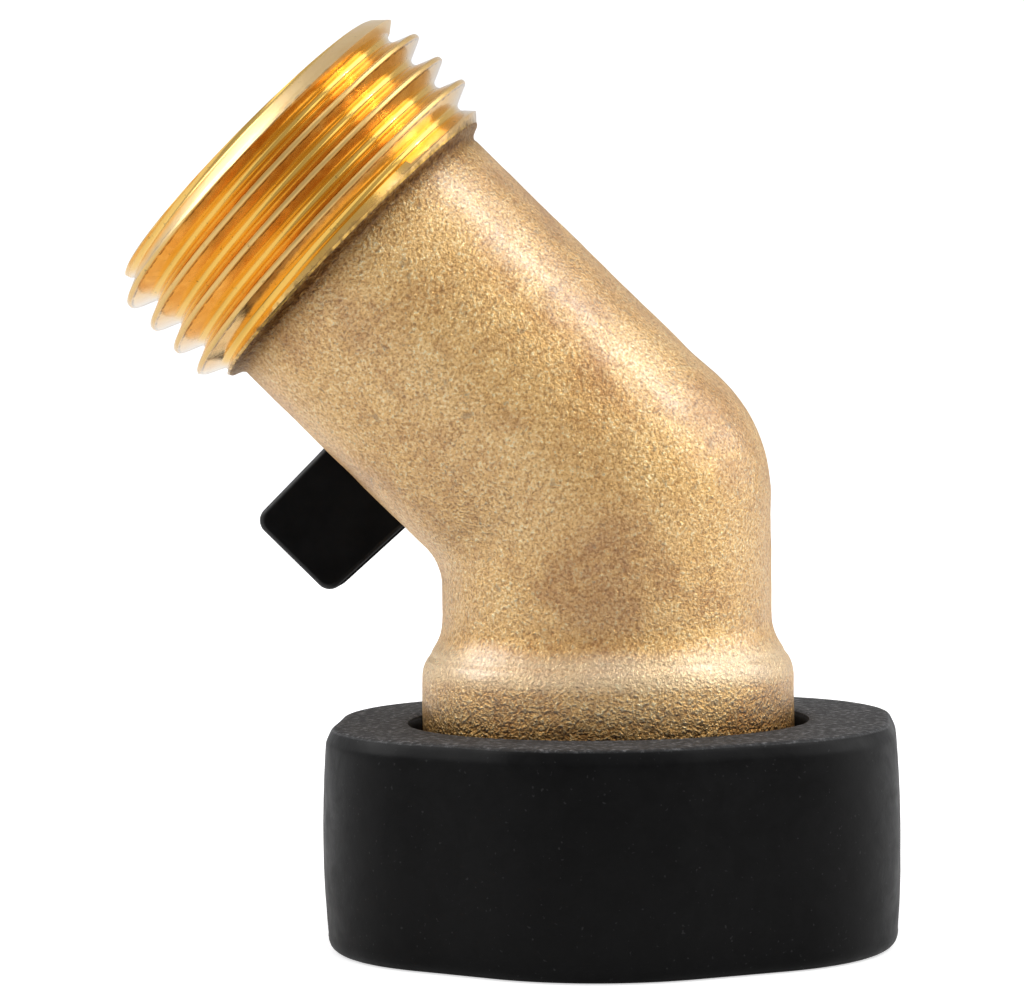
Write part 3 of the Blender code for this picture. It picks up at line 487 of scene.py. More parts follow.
def lump(point):
    """How far the sand mould pushes a point of the skin out, in millimetres."""
    push = 0.035 * rough_noise(point, 3.1) + 0.022 * rough_noise(point, 1.3)
    return push + 0.012 * rough_noise(point, 0.55)


def lump_skin(rows):
    """Push the cast skin in and out a little, as sand casting leaves it."""
    pushes = [[lump(point) for point in row[:-1]] for row in rows]
    pushes = np.array([line + line[:1] for line in pushes])[:, :, None] * MM
    grid = np.array(rows)
    outward = grid - grid[:, :-1].mean(axis=1)[:, None, :]
    outward /= np.linalg.norm(outward, axis=2)[:, :, None]
    return list(grid + outward * pushes)


def boss_mesh():
    """Stem boss on the back of the arm, flared where it leaves the casting."""
    edge = (BOSS_R - BOSS_EDGE_R, BOSS_TOP_Y - BOSS_EDGE_R)
    outline = [(0.0, BOSS_TOP_Y)] + arc(edge, BOSS_EDGE_R, 90.0, 0.0, 4)
    outline += arc((BOSS_R + BOSS_FLARE_R, 12.9), BOSS_FLARE_R, 180.0, 250.0, 8)
    outline += [(BOSS_FOOT_R, BOSS_FOOT_Y), (0.0, BOSS_FOOT_Y)]
    return turned_mesh("boss", VALVE, outline, 96)


def elbow_skin(looks):
    """Casting with its thread and its bores, before the boss and the cross holes."""
    angles = column_angles(COLUMNS)
    skin = lump_skin(cast_rows(angles))
    shoulder = ((ARM_R - 0.02, -0.60), (ARM_R + 0.05, -0.45), (ARM_R + 0.22, -0.28), (ARM_R + 0.55, -0.12))
    shoulder += ((ARM_R + 0.85, 0.0), (ROOT_R + 0.15, 0.08), (ROOT_R + 0.25, 0.22))
    step = [ARM.ring(radius, SHOULDER_S + offset, angles) for radius, offset in shoulder]
    turned = male_thread_rows(angles) + bore_rows(angles) + leg_end_rows(angles)
    is_turned = np.concatenate((np.full(len(skin) + len(step) - 2, 0), np.full(len(turned) + 2, 1)))
    mesh = mesh_from_rows("elbow_casting", skin + step + turned, True, is_turned.astype(np.int32))
    mesh.materials.append(looks["cast_brass"])
    mesh.materials.append(looks["turned_brass"])
    return mesh


def elbow_cutters():
    """Bodies that open the stem's bore, the vent, and the rooms of the piston's head and retainer."""
    stem = [(0.0, 16.0), (STEM_BORE_R + 0.35, 16.0), (STEM_BORE_R, 14.2), (STEM_BORE_R, FLANGE_ROOM_Y)]
    stem += [(FLANGE_ROOM_R, FLANGE_ROOM_Y), (FLANGE_ROOM_R, 5.0), (0.0, 5.0)]
    vent_frame = LocalFrame(SWIVEL + Vector((0.0, 0.0, VENT_Z * MM)), (1.0, 0.0, 0.0), (0.0, 1.0, 0.0))
    vent = [(0.0, 13.0), (1.3, 13.0), (VENT_R, 10.7), (VENT_R, 8.0), (0.0, 8.0)]
    head_room = rod(PISTON_BORE_R - 0.02, 23.5, PISTON_BORE_TOP_Z)
    retainer_room = rod(OUTLET_BORE_R - 0.02, BALL_S + CHAMBER_HALF + 0.03, ARM_LENGTH - 2.0)
    return [
        turned_mesh("stem_bore", VALVE, stem, 64),
        turned_mesh("vent", vent_frame, vent, 32),
        turned_mesh("head_room", LEG, head_room, 192),
        turned_mesh("retainer_room", ARM, retainer_room, 192),
    ]


def build_elbow(looks):
    boss = boss_mesh()
    boss.materials.append(looks["cast_brass"])
    mesh = apply_booleans(elbow_skin(looks), [boss], "UNION")
    cutters = elbow_cutters()
    for cutter in cutters:
        cutter.materials.append(looks["turned_brass"])
    mesh = apply_booleans(mesh, cutters)
    add_piece("elbow_casting", mesh, "housing", "cast_brass", looks, "elbow_body", 32.0)


# ---- swivel nut, grip, washer, screen

def nut_thread_rows(angles):
    """Rows of the female hose thread, from the nut's mouth inwards."""
    roots = NUT_THREAD_START + PITCH * angles / TAU
    knees = (NUT_THREAD_START + 1.2,)
    rows = []
    for stations in thread_stations(NUT_THREAD_START, NUT_THREAD_END, roots, THREAD_OFFSETS, knees):
        wall = NUT_ROOT_R - 1.4 * thread_height(stations, roots)
        mouth = NUT_ROOT_R + 0.15 - (stations - NUT_THREAD_START)
        run_out = NUT_ROOT_R - 0.05 - (NUT_THREAD_END - stations) * 1.5
        rows.append(LEG.ring(np.maximum(np.maximum(wall, mouth), run_out), stations, angles))
    return rows


def build_nut(looks):
    """Hexagonal swivel nut with its female hose thread and the groove of its clip."""
    angles = column_angles(192)
    side = hexagon_radius(angles, NUT_APOTHEM, NUT_CORNER_R)
    rows = []
    for inset, height in ((0.6, 13.1), (0.17, 12.93), (0.0, 12.5), (0.0, 1.1), (0.17, 0.67), (0.6, 0.5)):
        rows.append(LEG.ring(side - inset, height, angles))
    rows += nut_thread_rows(angles)
    inside = [(NUT_ROOT_R - 0.05, INLET_FACE_Z), (NUT_NECK_R, INLET_FACE_Z), (NUT_NECK_R, CLIP_BOTTOM_Z)]
    inside += [(NUT_ROOT_R, CLIP_BOTTOM_Z), (NUT_ROOT_R, CLIP_TOP_Z), (NUT_NECK_R, CLIP_TOP_Z)]
    inside += [(NUT_NECK_R, 13.1)]
    mesh = mesh_from_rows("hose_nut", rows + LEG.rings(inside, angles))
    add_piece("hose_nut", mesh, "swivel", "turned_brass", looks, "swivel_nut", 30.0)


# Inset of the grip's side at drops from its top
GRIP_BEVEL = (
    (0.84, 0.0), (0.68, 0.012), (0.53, 0.05), (0.40, 0.12), (0.31, 0.22), (0.24, 0.36),
    (0.17, 0.54), (0.10, 0.72), (0.045, 0.88), (0.012, 1.02), (0.0, 1.18),
)


def grip_side(height):
    """Outward bulge of the grip's side over its height, with the mould's parting ridge."""
    bulge = GRIP_BARREL * (1.0 - (2.0 * height / GRIP_HEIGHT - 1.0) ** 2)
    ridge = 0.07 * math.exp(-((height - 0.95) / 0.12) ** 2)
    return bulge + ridge


def grip_grid():
    """Rows from the hole in the lip over the rounded top edge and down to the nut's pocket."""
    angles = column_angles(300)
    side = hexagon_radius(angles, GRIP_APOTHEM, GRIP_CORNER_R) - 0.32 * (1.0 - np.cos(angles))
    pocket = hexagon_radius(angles, NUT_APOTHEM + 0.3, NUT_CORNER_R + 0.3)
    rows = []
    for inset, height in ((0.0, 0.35), (0.1, 0.1), (0.35, 0.0)):
        rows.append(LEG.ring(GRIP_HOLE_R + inset, GRIP_HEIGHT - height, angles))
    for share in np.linspace(0.12, 0.94, 22):
        reach = GRIP_HOLE_R + 0.35 + (side - 1.33 - GRIP_HOLE_R) * share
        rows.append(LEG.ring(reach, GRIP_HEIGHT, angles))
    for inset, drop in GRIP_BEVEL:
        height = GRIP_HEIGHT - drop
        rows.append(LEG.ring(side - inset + grip_side(height), height, angles))
    for height in np.arange(GRIP_HEIGHT - 1.5, 1.0, -0.22):
        rows.append(LEG.ring(side + grip_side(height), height, angles))
    for inset, height in arc((-0.8, 0.8), 0.8, 0.0, -88.0, 7):
        rows.append(LEG.ring(side + inset + grip_side(height), height, angles))
    inside = ((pocket + 0.3, 0.0), (pocket, 0.3), (pocket, GRIP_LIP_Z), (GRIP_HOLE_R, GRIP_LIP_Z))
    rows += LEG.rings(inside, angles)
    return np.array(rows)


def build_grip(looks):
    """Barrelled rounded-hexagon sleeve, slightly uneven everywhere but in its pocket."""
    grid = grip_grid()
    for row in grid[:-4]:
        for index, point in enumerate(row[:-1]):
            push = 0.03 * rough_noise(point, 4.0) + 0.012 * rough_noise(point, 1.1)
            row[index] = point + (point - np.array(SWIVEL)) * np.array((1.0, 1.0, 0.0)) * push * 0.05
        row[-1] = row[0]
    mesh = mesh_from_rows("grip_sleeve", grid)
    add_piece("grip_sleeve", mesh, "swivel", "black_grip_rubber", looks, "nut_grip", 40.0)


def build_washer(looks):
    """Hose washer with rounded edges and a bevel towards the nut's mouth."""
    outline = arc((WASHER_R - 0.35, WASHER_TOP_Z - 0.35), 0.35, 90.0, 0.0, 5)
    outline += arc((WASHER_FACE_R, WASHER_BOTTOM_Z + 0.3), 0.3, -30.0, -90.0, 4)
    outline += arc((WASHER_HOLE_R + 0.3, WASHER_BOTTOM_Z + 0.3), 0.3, -90.0, -180.0, 4)
    outline += arc((WASHER_HOLE_R + 0.3, WASHER_TOP_Z - 0.3), 0.3, 180.0, 90.0, 4)
    mesh = turned_mesh("rubber_washer", LEG, outline, 128)
    add_piece("rubber_washer", mesh, "swivel", "washer_rubber", looks, "hose_washer")


def wire_rows(centres, normal, radius, sides=6):
    """Rings of a thin wire that follows points; each ring stands across the wire."""
    rows = []
    tangents = np.gradient(centres, axis=0)
    tangents /= np.linalg.norm(tangents, axis=1)[:, None]
    turn = np.linspace(0.0, TAU, sides + 1)
    for centre, tangent in zip(centres, tangents):
        across = np.cross(tangent, normal)
        across /= np.linalg.norm(across)
        lift = np.cross(across, tangent)
        rows.append(centre + radius * (np.outer(np.cos(turn), across) + np.outer(np.sin(turn), lift)))
    return rows


def dome_height(radius):
    """Height of the strainer's woven dome above the swivel's foot."""
    return SCREEN_TOP_Z - 0.4 + DOME_RISE * (1.0 - (radius / DOME_R) ** 2)


def build_screen(looks):
    """Strainer: a pressed rim and a dome of woven wires."""
    inner, outer = SCREEN_HOLE_R + 0.2, SCREEN_R - 0.2
    low, high = SCREEN_BOTTOM_Z + 0.2, SCREEN_TOP_Z - 0.2
    rim = arc((outer, high), 0.2, 90.0, 0.0, 3) + arc((outer, low), 0.2, 0.0, -90.0, 3)
    rim += arc((inner, low), 0.2, -90.0, -180.0, 3) + arc((inner, high), 0.2, 180.0, 90.0, 3)
    whole = bmesh.new()
    whole.from_mesh(turned_mesh("screen_rim", LEG, rim, 96))
    count = int(inner / WIRE_SPACING)
    for direction in (0, 1):
        for index in range(-count, count + 1):
            offset = index * WIRE_SPACING
            half = math.sqrt((DOME_R - 0.05) ** 2 - offset ** 2)
            steps = max(8, int(half * 4.0 / WIRE_SPACING))
            along = np.linspace(-half, half, steps + 1)
            weave = WIRE_R * np.cos(math.pi * (along / WIRE_SPACING + index + direction))
            height = dome_height(np.hypot(along, offset)) + weave
            across = np.full_like(along, offset)
            flat = (along, across) if direction == 0 else (across, along)
            centres = np.stack((flat[0], flat[1], height), axis=1)
            rows = wire_rows(centres, np.array(UP), WIRE_R)
            placed = [np.array(SWIVEL) + row * MM for row in rows]
            whole.from_mesh(mesh_from_rows("wire", placed, False))
    mesh = bpy.data.meshes.new("woven_screen")
    whole.to_mesh(mesh)
    whole.free()
    add_piece("woven_screen", mesh, "swivel", "stainless_steel", looks, "inlet_screen")


def build_spring(looks):
    """Compression spring with closed, ground ends."""
    low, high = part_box("regulator_spring")
    bottom, top = low.z / MM, high.z / MM
    wire, coil, turns, ground = SPRING_WIRE_R, SPRING_COIL_R, SPRING_TURNS, SPRING_GROUND
    share = np.linspace(0.0, 1.0, int(turns * 48) + 1)
    dead = 1.0 / turns
    stack = ground + 2.0 * wire + 0.02
    heights = (bottom + ground, bottom + stack, top - stack, top - ground)
    height = np.interp(share, (0.0, dead, 1.0 - dead, 1.0), heights)
    angle = TAU * turns * share
    centres = np.stack((coil * np.cos(angle), coil * np.sin(angle), height), axis=1)
    rows = []
    for row in wire_rows(centres, np.array(UP), wire, 12):
        row[:, 2] = np.clip(row[:, 2], bottom, top)
        rows.append(np.array((SWIVEL.x, SWIVEL.y, 0.0)) + row * MM)
    mesh = mesh_from_rows("coil_spring", rows, False)
    piece = add_piece("coil_spring", mesh, "housing", "stainless_steel", looks, "regulator_spring", 60.0)
    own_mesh(piece)


# ---- valve pieces

def build_retainer(looks):
    """Ring that holds the outer seat, with a seal groove and a slot for its key."""
    bottom = BALL_S + CHAMBER_HALF + 0.3
    top = bottom + 4.0
    groove_bottom, groove_top = bottom + 1.0, bottom + 2.4
    outline = arc((RETAINER_R - 0.3, top - 0.3), 0.3, 90.0, 0.0, 4)
    outline += [(RETAINER_R, groove_top), (RETAINER_GROOVE_R, groove_top), (RETAINER_GROOVE_R, groove_bottom)]
    outline += [(RETAINER_R, groove_bottom), (RETAINER_R, bottom), (RETAINER_HOLE_R, bottom)]
    outline += arc((RETAINER_HOLE_R + 0.6, top - 0.6), 0.6, 180.0, 90.0, 5)
    slot = box_mesh("slot", ARM, (27.0, 1.8, 2.4), (0.0, 0.0, top))
    mesh = apply_booleans(turned_mesh("retainer_ring", ARM, outline, 144), [slot])
    add_piece("retainer_ring", mesh, "housing", "turned_brass", looks, "seat_retainer")


def build_outer_seat(looks):
    """Seat ring on the outlet side, hollowed to the ball."""
    hollow = [(math.sqrt(SEAT_HOLLOW_R ** 2 - height ** 2), height) for height in np.linspace(4.3, 5.41, 9)]
    outline = [(4.9, 7.3), (5.0, 7.4), (7.6, 7.4), (7.7, 7.3), (7.7, 4.4), (7.6, 4.3)] + hollow
    placed = [(radius, BALL_S + height) for radius, height in outline]
    mesh = turned_mesh("outer_seat_ring", ARM, placed, 128)
    add_piece("outer_seat_ring", mesh, "housing", "white_seat", looks, "ball_seat_outer")


def build_ball(looks):
    """Ball with its port across the arm, and the slot that the stem's tang turns it by."""
    outline = [(BALL_R * math.sin(a), BALL_R * math.cos(a)) for a in np.linspace(0.0, math.pi, 65)]
    across = LocalFrame(BALL, (0.0, 1.0, 0.0), ARM_SIDE)
    port = turned_mesh("port", across, rod(BALL_PORT_R, -8.0, 8.0), 96)
    slot = box_mesh("slot", VALVE, (2.4, 20.0, 4.0), (0.0, 0.0, 7.6))
    mesh = apply_booleans(turned_mesh("polished_ball", VALVE, outline, 128), [port, slot])
    add_piece("polished_ball", mesh, "valve", "chromed_ball", looks, "ball")


def lever_outline(grow):
    """Plan of the lever, grown or shrunk all round: a round hub with a bar that tapers towards -side."""
    hub = LEVER_HUB_R + grow
    reach = LEVER_REACH + grow
    near_tip = LEVER_TIP + grow
    near_neck = LEVER_NECK + grow
    far = -LEVER_FAR_SIDE - grow
    far_start = -math.sqrt(hub ** 2 - far ** 2)
    start = math.atan2(near_neck, -math.sqrt(hub ** 2 - near_neck ** 2))
    stop = math.atan2(far, far_start)
    points = [(hub * math.cos(a), hub * math.sin(a)) for a in np.linspace(stop, start, 49)]
    corner = 1.05 + grow * 0.5
    for share in np.linspace(0.06, 0.92, 14):
        x = -2.4 + (2.4 + corner - reach) * share
        points.append((x, near_neck + (near_tip - near_neck) * share))
    for edge, first in ((near_tip - corner, math.pi / 2.0), (far + corner, math.pi)):
        for a in np.linspace(first, first + math.pi / 2.0, 9):
            points.append((-reach + corner + corner * math.cos(a), edge + corner * math.sin(a)))
    for x in np.linspace(-reach + 2.2, far_start - 0.6, 14):
        points.append((x, far))
    return np.array(points)


def build_lever(looks):
    """Moulded lever with drafted sides and rounded rims, hollow under its screw."""
    bottom, top = LEVER_BOTTOM_Y, LEVER_TOP_Y
    layers = arc((-0.45, bottom + 0.45), 0.45, -90.0, 0.0, 5)
    for share in np.linspace(0.1, 0.9, 8):
        layers.append((LEVER_DRAFT * share, bottom + 0.45 + (top - bottom - 1.0) * share))
    layers += arc((LEVER_DRAFT - 0.30, top - 0.30), 0.30, 0.0, 90.0, 6)
    rows = []
    for grow, height in layers:
        plan = lever_outline(grow)
        plan = np.vstack((plan, plan[:1]))
        side = np.outer(plan[:, 0], VALVE.side) + np.outer(plan[:, 1], VALVE.cross)
        rows.append(VALVE.origin + (side + height * VALVE.along) * MM)
    hollow = [(0.0, 21.0), (4.2, 21.0), (3.9, top - 0.25), (3.9, 18.2), (0.0, 18.2)]
    recess = turned_mesh("recess", VALVE, hollow, 96)
    square = box_mesh("square", VALVE, (5.0, 5.0, 10.0), (0.0, 0.0, bottom))
    mesh = apply_booleans(mesh_from_rows("lever_blade", rows, False), [recess, square])
    add_piece("lever_blade", mesh, "valve", "black_plastic", looks, "lever_handle", 30.0)


def build_lever_screw(looks):
    """Pan-head screw with a cross recess, over a plain washer."""
    outline = [(2.75 * math.sin(a), 18.1 + 2.2 * math.cos(a)) for a in np.linspace(0.0, 0.9, 9)]
    outline += [(2.8, SCREW_HEAD_Y + 0.25), (2.8, SCREW_HEAD_Y + 0.05), (2.75, SCREW_HEAD_Y)]
    outline += [(1.3, SCREW_HEAD_Y), (1.3, SCREW_FOOT_Y + 0.3), (1.0, SCREW_FOOT_Y), (0.0, SCREW_FOOT_Y)]
    slots = [box_mesh("cross_a", VALVE, (3.0, 0.62, 1.2), (0.0, 0.0, 20.3))]
    slots.append(box_mesh("cross_b", VALVE, (0.62, 3.0, 1.2), (0.0, 0.0, 20.3)))
    mesh = apply_booleans(turned_mesh("pan_screw", VALVE, outline, 96), slots)
    add_piece("pan_screw", mesh, "valve", "stainless_steel", looks, "lever_screw")
    ring = arc((3.4, 18.8), 0.1, 90.0, 0.0, 3) + arc((3.4, 18.6), 0.1, 0.0, -90.0, 3)
    ring += [(1.6, 18.5), (1.6, 18.9)]
    mesh = turned_mesh("plain_washer", VALVE, ring, 96)
    add_piece("plain_washer", mesh, "valve", "stainless_steel", looks, "lever_washer")


# ---- materials

class Look:
    """A node material with short ways to add its parts."""

    def __init__(self, name, metallic=0.0):
        self.material = bpy.data.materials.new(name)
        self.material.use_nodes = True
        self.nodes = self.material.node_tree.nodes
        self.links = self.material.node_tree.links
        self.shader = self.nodes["Principled BSDF"]
        self.place = self.nodes.new("ShaderNodeTexCoord").outputs["Object"]
        self.set("Metallic", metallic)

    def connect(self, source, target):
        self.links.new(source, target)

    def blotches(self, source, dark, pale):
        """Two colours that follow a noise."""
        return self.ramp(source, ((0.3, dark), (0.7, pale)))

    def node(self, kind, inputs):
        """Add a node and feed its inputs by name or number."""
        node = self.nodes.new("ShaderNode" + kind)
        for socket, value in inputs.items():
            self.feed(node.inputs[socket], value)
        return node

    def noise(self, scale, detail=2.0, roughness=0.5, distortion=0.0):
        size = {"Scale": scale, "Detail": detail, "Roughness": roughness, "Distortion": distortion}
        return self.node("TexNoise", {"Vector": self.place, **size}).outputs["Fac"]

    def ramp(self, source, stops):
        node = self.node("ValToRGB", {"Fac": source})
        elements = node.color_ramp.elements
        while len(elements) < len(stops):
            elements.new(0.5)
        for element, (position, colour) in zip(elements, stops):
            element.position = position
            element.color = (*colour, 1.0)
        return node.outputs["Color"]

    def span(self, source, low, high, to_low, to_high):
        limits = {"From Min": low, "From Max": high, "To Min": to_low, "To Max": to_high}
        return self.node("MapRange", {"Value": source, **limits}).outputs["Result"]

    def feed(self, socket, value):
        """Give a socket a number, a colour or another node's output."""
        if isinstance(value, (int, float)):
            socket.default_value = value
        elif isinstance(value, tuple):
            socket.default_value = (*value, 1.0)
        else:
            self.connect(value, socket)

    def mix(self, factor, first, second, blend="MIX"):
        node = self.nodes.new("ShaderNodeMix")
        node.data_type = "RGBA"
        node.blend_type = blend
        for index, value in ((0, factor), (6, first), (7, second)):
            self.feed(node.inputs[index], value)
        return node.outputs[2]

    def math(self, operation, first, second):
        node = self.node("Math", {0: first, 1: second})
        node.operation = operation
        return node.outputs[0]

    def times(self, first, second):
        return self.math("MULTIPLY", first, second)

    def plus(self, first, second):
        return self.math("ADD", first, second)

    def rise(self, source, low, high):
        """0 up to a low value and 1 from a high one."""
        return self.span(source, low, high, 0.0, 1.0)

    def fall(self, source, low, high):
        """1 up to a low value and 0 from a high one."""
        return self.span(source, low, high, 1.0, 0.0)

    def vector(self, operation, first, second=None, output="Vector"):
        """Arithmetic on a vector and, if one is given, a fixed second vector."""
        node = self.nodes.new("ShaderNodeVectorMath")
        node.operation = operation
        self.connect(first, node.inputs[0])
        if second is not None:
            node.inputs[1].default_value = second
        return node.outputs[output]

    def along(self, direction, origin):
        """Distance in metres from a point along a direction."""
        offset = self.vector("SUBTRACT", self.place, origin)
        return self.vector("DOT_PRODUCT", offset, direction, "Value")

    def radius(self, direction, origin):
        """Distance in metres from a line through a point."""
        offset = self.vector("SUBTRACT", self.place, origin)
        across = self.vector("CROSS_PRODUCT", offset, direction)
        return self.vector("LENGTH", across, None, "Value")

    def normal_along(self, direction):
        """How far the surface faces a direction, from -1 to 1."""
        normal = self.nodes.new("ShaderNodeNewGeometry").outputs["Normal"]
        return self.vector("DOT_PRODUCT", normal, direction, "Value")

    def grazing(self):
        """0 where the surface faces the viewer and 1 at its outline."""
        return self.nodes.new("ShaderNodeLayerWeight").outputs["Facing"]

    def bump(self, heights):
        """Stack bumps given as (height, depth in metres)."""
        normal = None
        for height, depth in heights:
            inputs = {"Strength": 1.0, "Distance": depth, "Height": height}
            if normal is not None:
                inputs["Normal"] = normal
            normal = self.node("Bump", inputs).outputs["Normal"]
        self.connect(normal, self.shader.inputs["Normal"])

    def set(self, name, value):
        self.feed(self.shader.inputs[name], value)


def cast_base(look, grain, speckle, patches):
    """Brass colour with its grain, brown speckle and soft tarnish."""
    grain_stops = (
        (0.33, (0.55, 0.30, 0.085)), (0.45, (0.80, 0.48, 0.160)),
        (0.57, (0.96, 0.63, 0.24)), (0.68, (1.0, 0.85, 0.50)),
    )
    speckle_stops = ((0.34, (0.66, 0.52, 0.40)), (0.52, (1.0, 1.0, 1.0)))
    tarnish_stops = ((0.37, (0.66, 0.52, 0.36)), (0.50, (0.94, 0.89, 0.80)), (0.60, (1.0, 1.0, 1.0)))
    colour = look.mix(0.45, look.ramp(grain, grain_stops), look.ramp(speckle, speckle_stops), "MULTIPLY")
    return look.mix(0.75, colour, look.ramp(patches, tarnish_stops), "MULTIPLY")


def cast_marks(look, colour, patches, up_leg):
    """Add a painted highlight round the collar's top edge, and the brown streak down the front of the leg."""
    # Painted highlight: the base colour is paler in a band round the collar's rounded top edge and crease.
    collar_highlight = look.times(look.rise(up_leg, 0.0178, 0.0186), look.fall(up_leg, 0.0198, 0.0208))
    colour = look.mix(look.times(collar_highlight, 0.42), colour, (1.0, 0.85, 0.60))
    front = (SWIVEL.x + 0.0006, SWIVEL.y - 0.0115, 0.0)
    ragged = look.span(patches, 0.3, 0.7, -0.0026, 0.0026)
    streak = look.plus(look.radius(UP, front), ragged)
    streak = look.span(streak, 0.0004, 0.0052, 0.38, 0.0)
    streak = look.times(streak, look.rise(up_leg, 0.0195, 0.0270))
    return look.mix(streak, colour, (0.70, 0.56, 0.38), "MULTIPLY")


def cast_darkening(look, speckle, up_leg):
    """Share of darkening: darker at the foot of the collar next to the grip, and painted shade in the concave
    step at the shoulder of the thread.
    """
    # Darker towards the foot of the collar, next to the grip.
    foot = look.span(up_leg, 0.0150, 0.0176, 0.74, 0.0)
    up_arm = look.along(*ARM_AXIS)
    ragged = look.plus(up_arm, look.span(speckle, 0.25, 0.75, -0.0004, 0.0004))
    # Painted shade: darker towards and in the concave step at the thread's shoulder.
    shade_before_step = look.span(ragged, 0.0212, 0.0230, 0.0, 0.55)
    shade_in_step = look.span(ragged, 0.0228, 0.0234, 0.0, 0.45)
    darkening = look.math("MAXIMUM", foot, look.plus(shade_before_step, shade_in_step))
    return look.times(darkening, look.span(speckle, 0.30, 0.62, 1.0, 0.70))


def cast_sheen(look, grain, darkening):
    """Clear coat over the grain, weaker at the outline and where the skin is darkened."""
    outline = look.span(look.grazing(), 0.70, 0.96, 1.0, 0.35)
    sheen = look.times(outline, look.span(grain, 0.35, 0.55, 0.65, 1.0))
    look.set("Coat Weight", look.times(sheen, look.span(darkening, 0.0, 0.6, 1.0, 0.2)))
    look.set("Coat IOR", 1.9)
    look.set("Coat Roughness", 0.32)


def cast_brass():
    """Blasted sand-cast brass: sparkling fine grain, brown speckle and soft tarnish."""
    look = Look("cast_brass_skin", 1.0)
    grain = look.noise(5000.0, 2.0, 0.6, 0.3)
    pores = look.noise(3400.0, 1.0)
    speckle = look.noise(2100.0, 3.0, 0.6, 0.4)
    patches = look.noise(150.0, 6.0, 0.62, 0.6)
    freckles = look.noise(1250.0)
    up_leg = look.along(*LEG_AXIS)
    colour = cast_base(look, grain, speckle, patches)
    colour = cast_marks(look, colour, patches, up_leg)
    colour = look.mix(look.span(freckles, 0.66, 0.74, 0.0, 0.45), colour, (0.20, 0.11, 0.05))
    colour = look.mix(look.span(pores, 0.64, 0.71, 0.0, 0.45), colour, (0.26, 0.13, 0.04))
    darkening = cast_darkening(look, speckle, up_leg)
    # Darker at the foot of the collar, and painted shade at the thread's shoulder.
    look.set("Base Color", look.mix(darkening, colour, (0.100, 0.038, 0.012)))
    look.set("Roughness", look.span(grain, 0.3, 0.7, 0.42, 0.27))
    look.set("Specular Tint", (0.86, 0.74, 0.60))
    cast_sheen(look, grain, darkening)
    pits = look.times(freckles, look.span(up_leg, 0.0168, 0.0192, 1.0, 0.15))
    look.bump(((pits, 0.00022), (speckle, 0.00012), (grain, 0.00017)))
    return look.material


def thread_colour(look, colour, radius, nicks):
    """Add worn crests, deep gold roots and thin painted dark reflections along the crests' edges; return it
    and the crests' share.
    """
    ragged = look.plus(radius, look.span(nicks, 0.3, 0.7, -0.00004, 0.00004))
    crest = look.rise(ragged, 0.01332, 0.01338)
    colour = look.mix(crest, colour, (0.84, 0.55, 0.20))
    colour = look.mix(look.fall(radius, 0.01200, 0.01216), colour, (0.95, 0.58, 0.13))
    # Painted reflection: thin dark lines along the crests' rounded edges, where they would mirror dark
    # surroundings.
    edge = look.times(look.rise(ragged, 0.01316, 0.01324), look.fall(ragged, 0.01330, 0.01336))
    edge = look.times(edge, look.span(nicks, 0.38, 0.55, 0.15, 0.80))
    return look.mix(edge, colour, (0.20, 0.10, 0.04)), crest


def thread_bands(look, radius, nicks):
    """Shares of the rim, of the flange at the thread's shoulder, and of the painted shade in the step beside
    it.
    """
    up_arm = look.along(*ARM_AXIS)
    frayed = look.plus(up_arm, look.span(nicks, 0.25, 0.75, -0.0003, 0.0003))
    at_rim = look.rise(up_arm, (ARM_LENGTH - 1.46) * MM, (ARM_LENGTH - 1.40) * MM)
    rim = look.times(at_rim, look.rise(radius, 0.0118, 0.0120))
    flange = look.times(look.fall(frayed, 0.0246, 0.0252), look.rise(radius, 0.0126, 0.0129))
    below = look.span(frayed, 0.0238, 0.0243, 0.85, 0.0)
    return rim, flange, look.times(below, look.rise(radius, 0.0105, 0.0110))


def machined_brass():
    """Bright turned brass: deep gold roots, and rougher worn crests between thin painted dark reflections
    along their edges.
    """
    look = Look("machined_brass_skin", 1.0)
    stain = look.noise(420.0, 4.0, 0.6, 0.8)
    fine = look.noise(2600.0, 3.0, 0.6)
    nicks = look.noise(1500.0, 2.0, 0.6)
    stops = ((0.35, (0.86, 0.50, 0.16)), (0.55, (0.93, 0.60, 0.23)), (0.75, (0.97, 0.69, 0.33)))
    radius = look.radius(*ARM_AXIS)
    colour, crest = thread_colour(look, look.ramp(stain, stops), radius, nicks)
    colour = look.mix(look.span(fine, 0.66, 0.72, 0.0, 0.55), colour, (0.30, 0.17, 0.06))
    # Painted reflection: paler towards the outline, where the brass would mirror the white surroundings.
    colour = look.mix(look.span(look.grazing(), 0.74, 0.97, 0.0, 0.7), colour, (1.0, 0.93, 0.82))
    rim, flange, step_shade = thread_bands(look, radius, nicks)
    # Painted highlight: the rim's chamfer is painted paler; it is also rougher, as worn.
    colour = look.mix(look.times(rim, 0.55), colour, (0.96, 0.74, 0.41))
    colour = look.mix(look.times(flange, 0.7), colour, (0.86, 0.66, 0.42))
    # Painted shade in the concave step at the thread's shoulder; the same share also makes it rougher.
    look.set("Base Color", look.mix(step_shade, colour, (0.10, 0.055, 0.03)))
    smooth = look.span(fine, 0.3, 0.7, 0.11, 0.19)
    worn = look.math("MAXIMUM", look.math("MAXIMUM", crest, rim), flange)
    rough = look.plus(smooth, look.times(worn, 0.18))
    look.set("Roughness", look.plus(rough, look.times(step_shade, 0.3)))
    look.bump(((fine, 0.000005),))
    return look.material


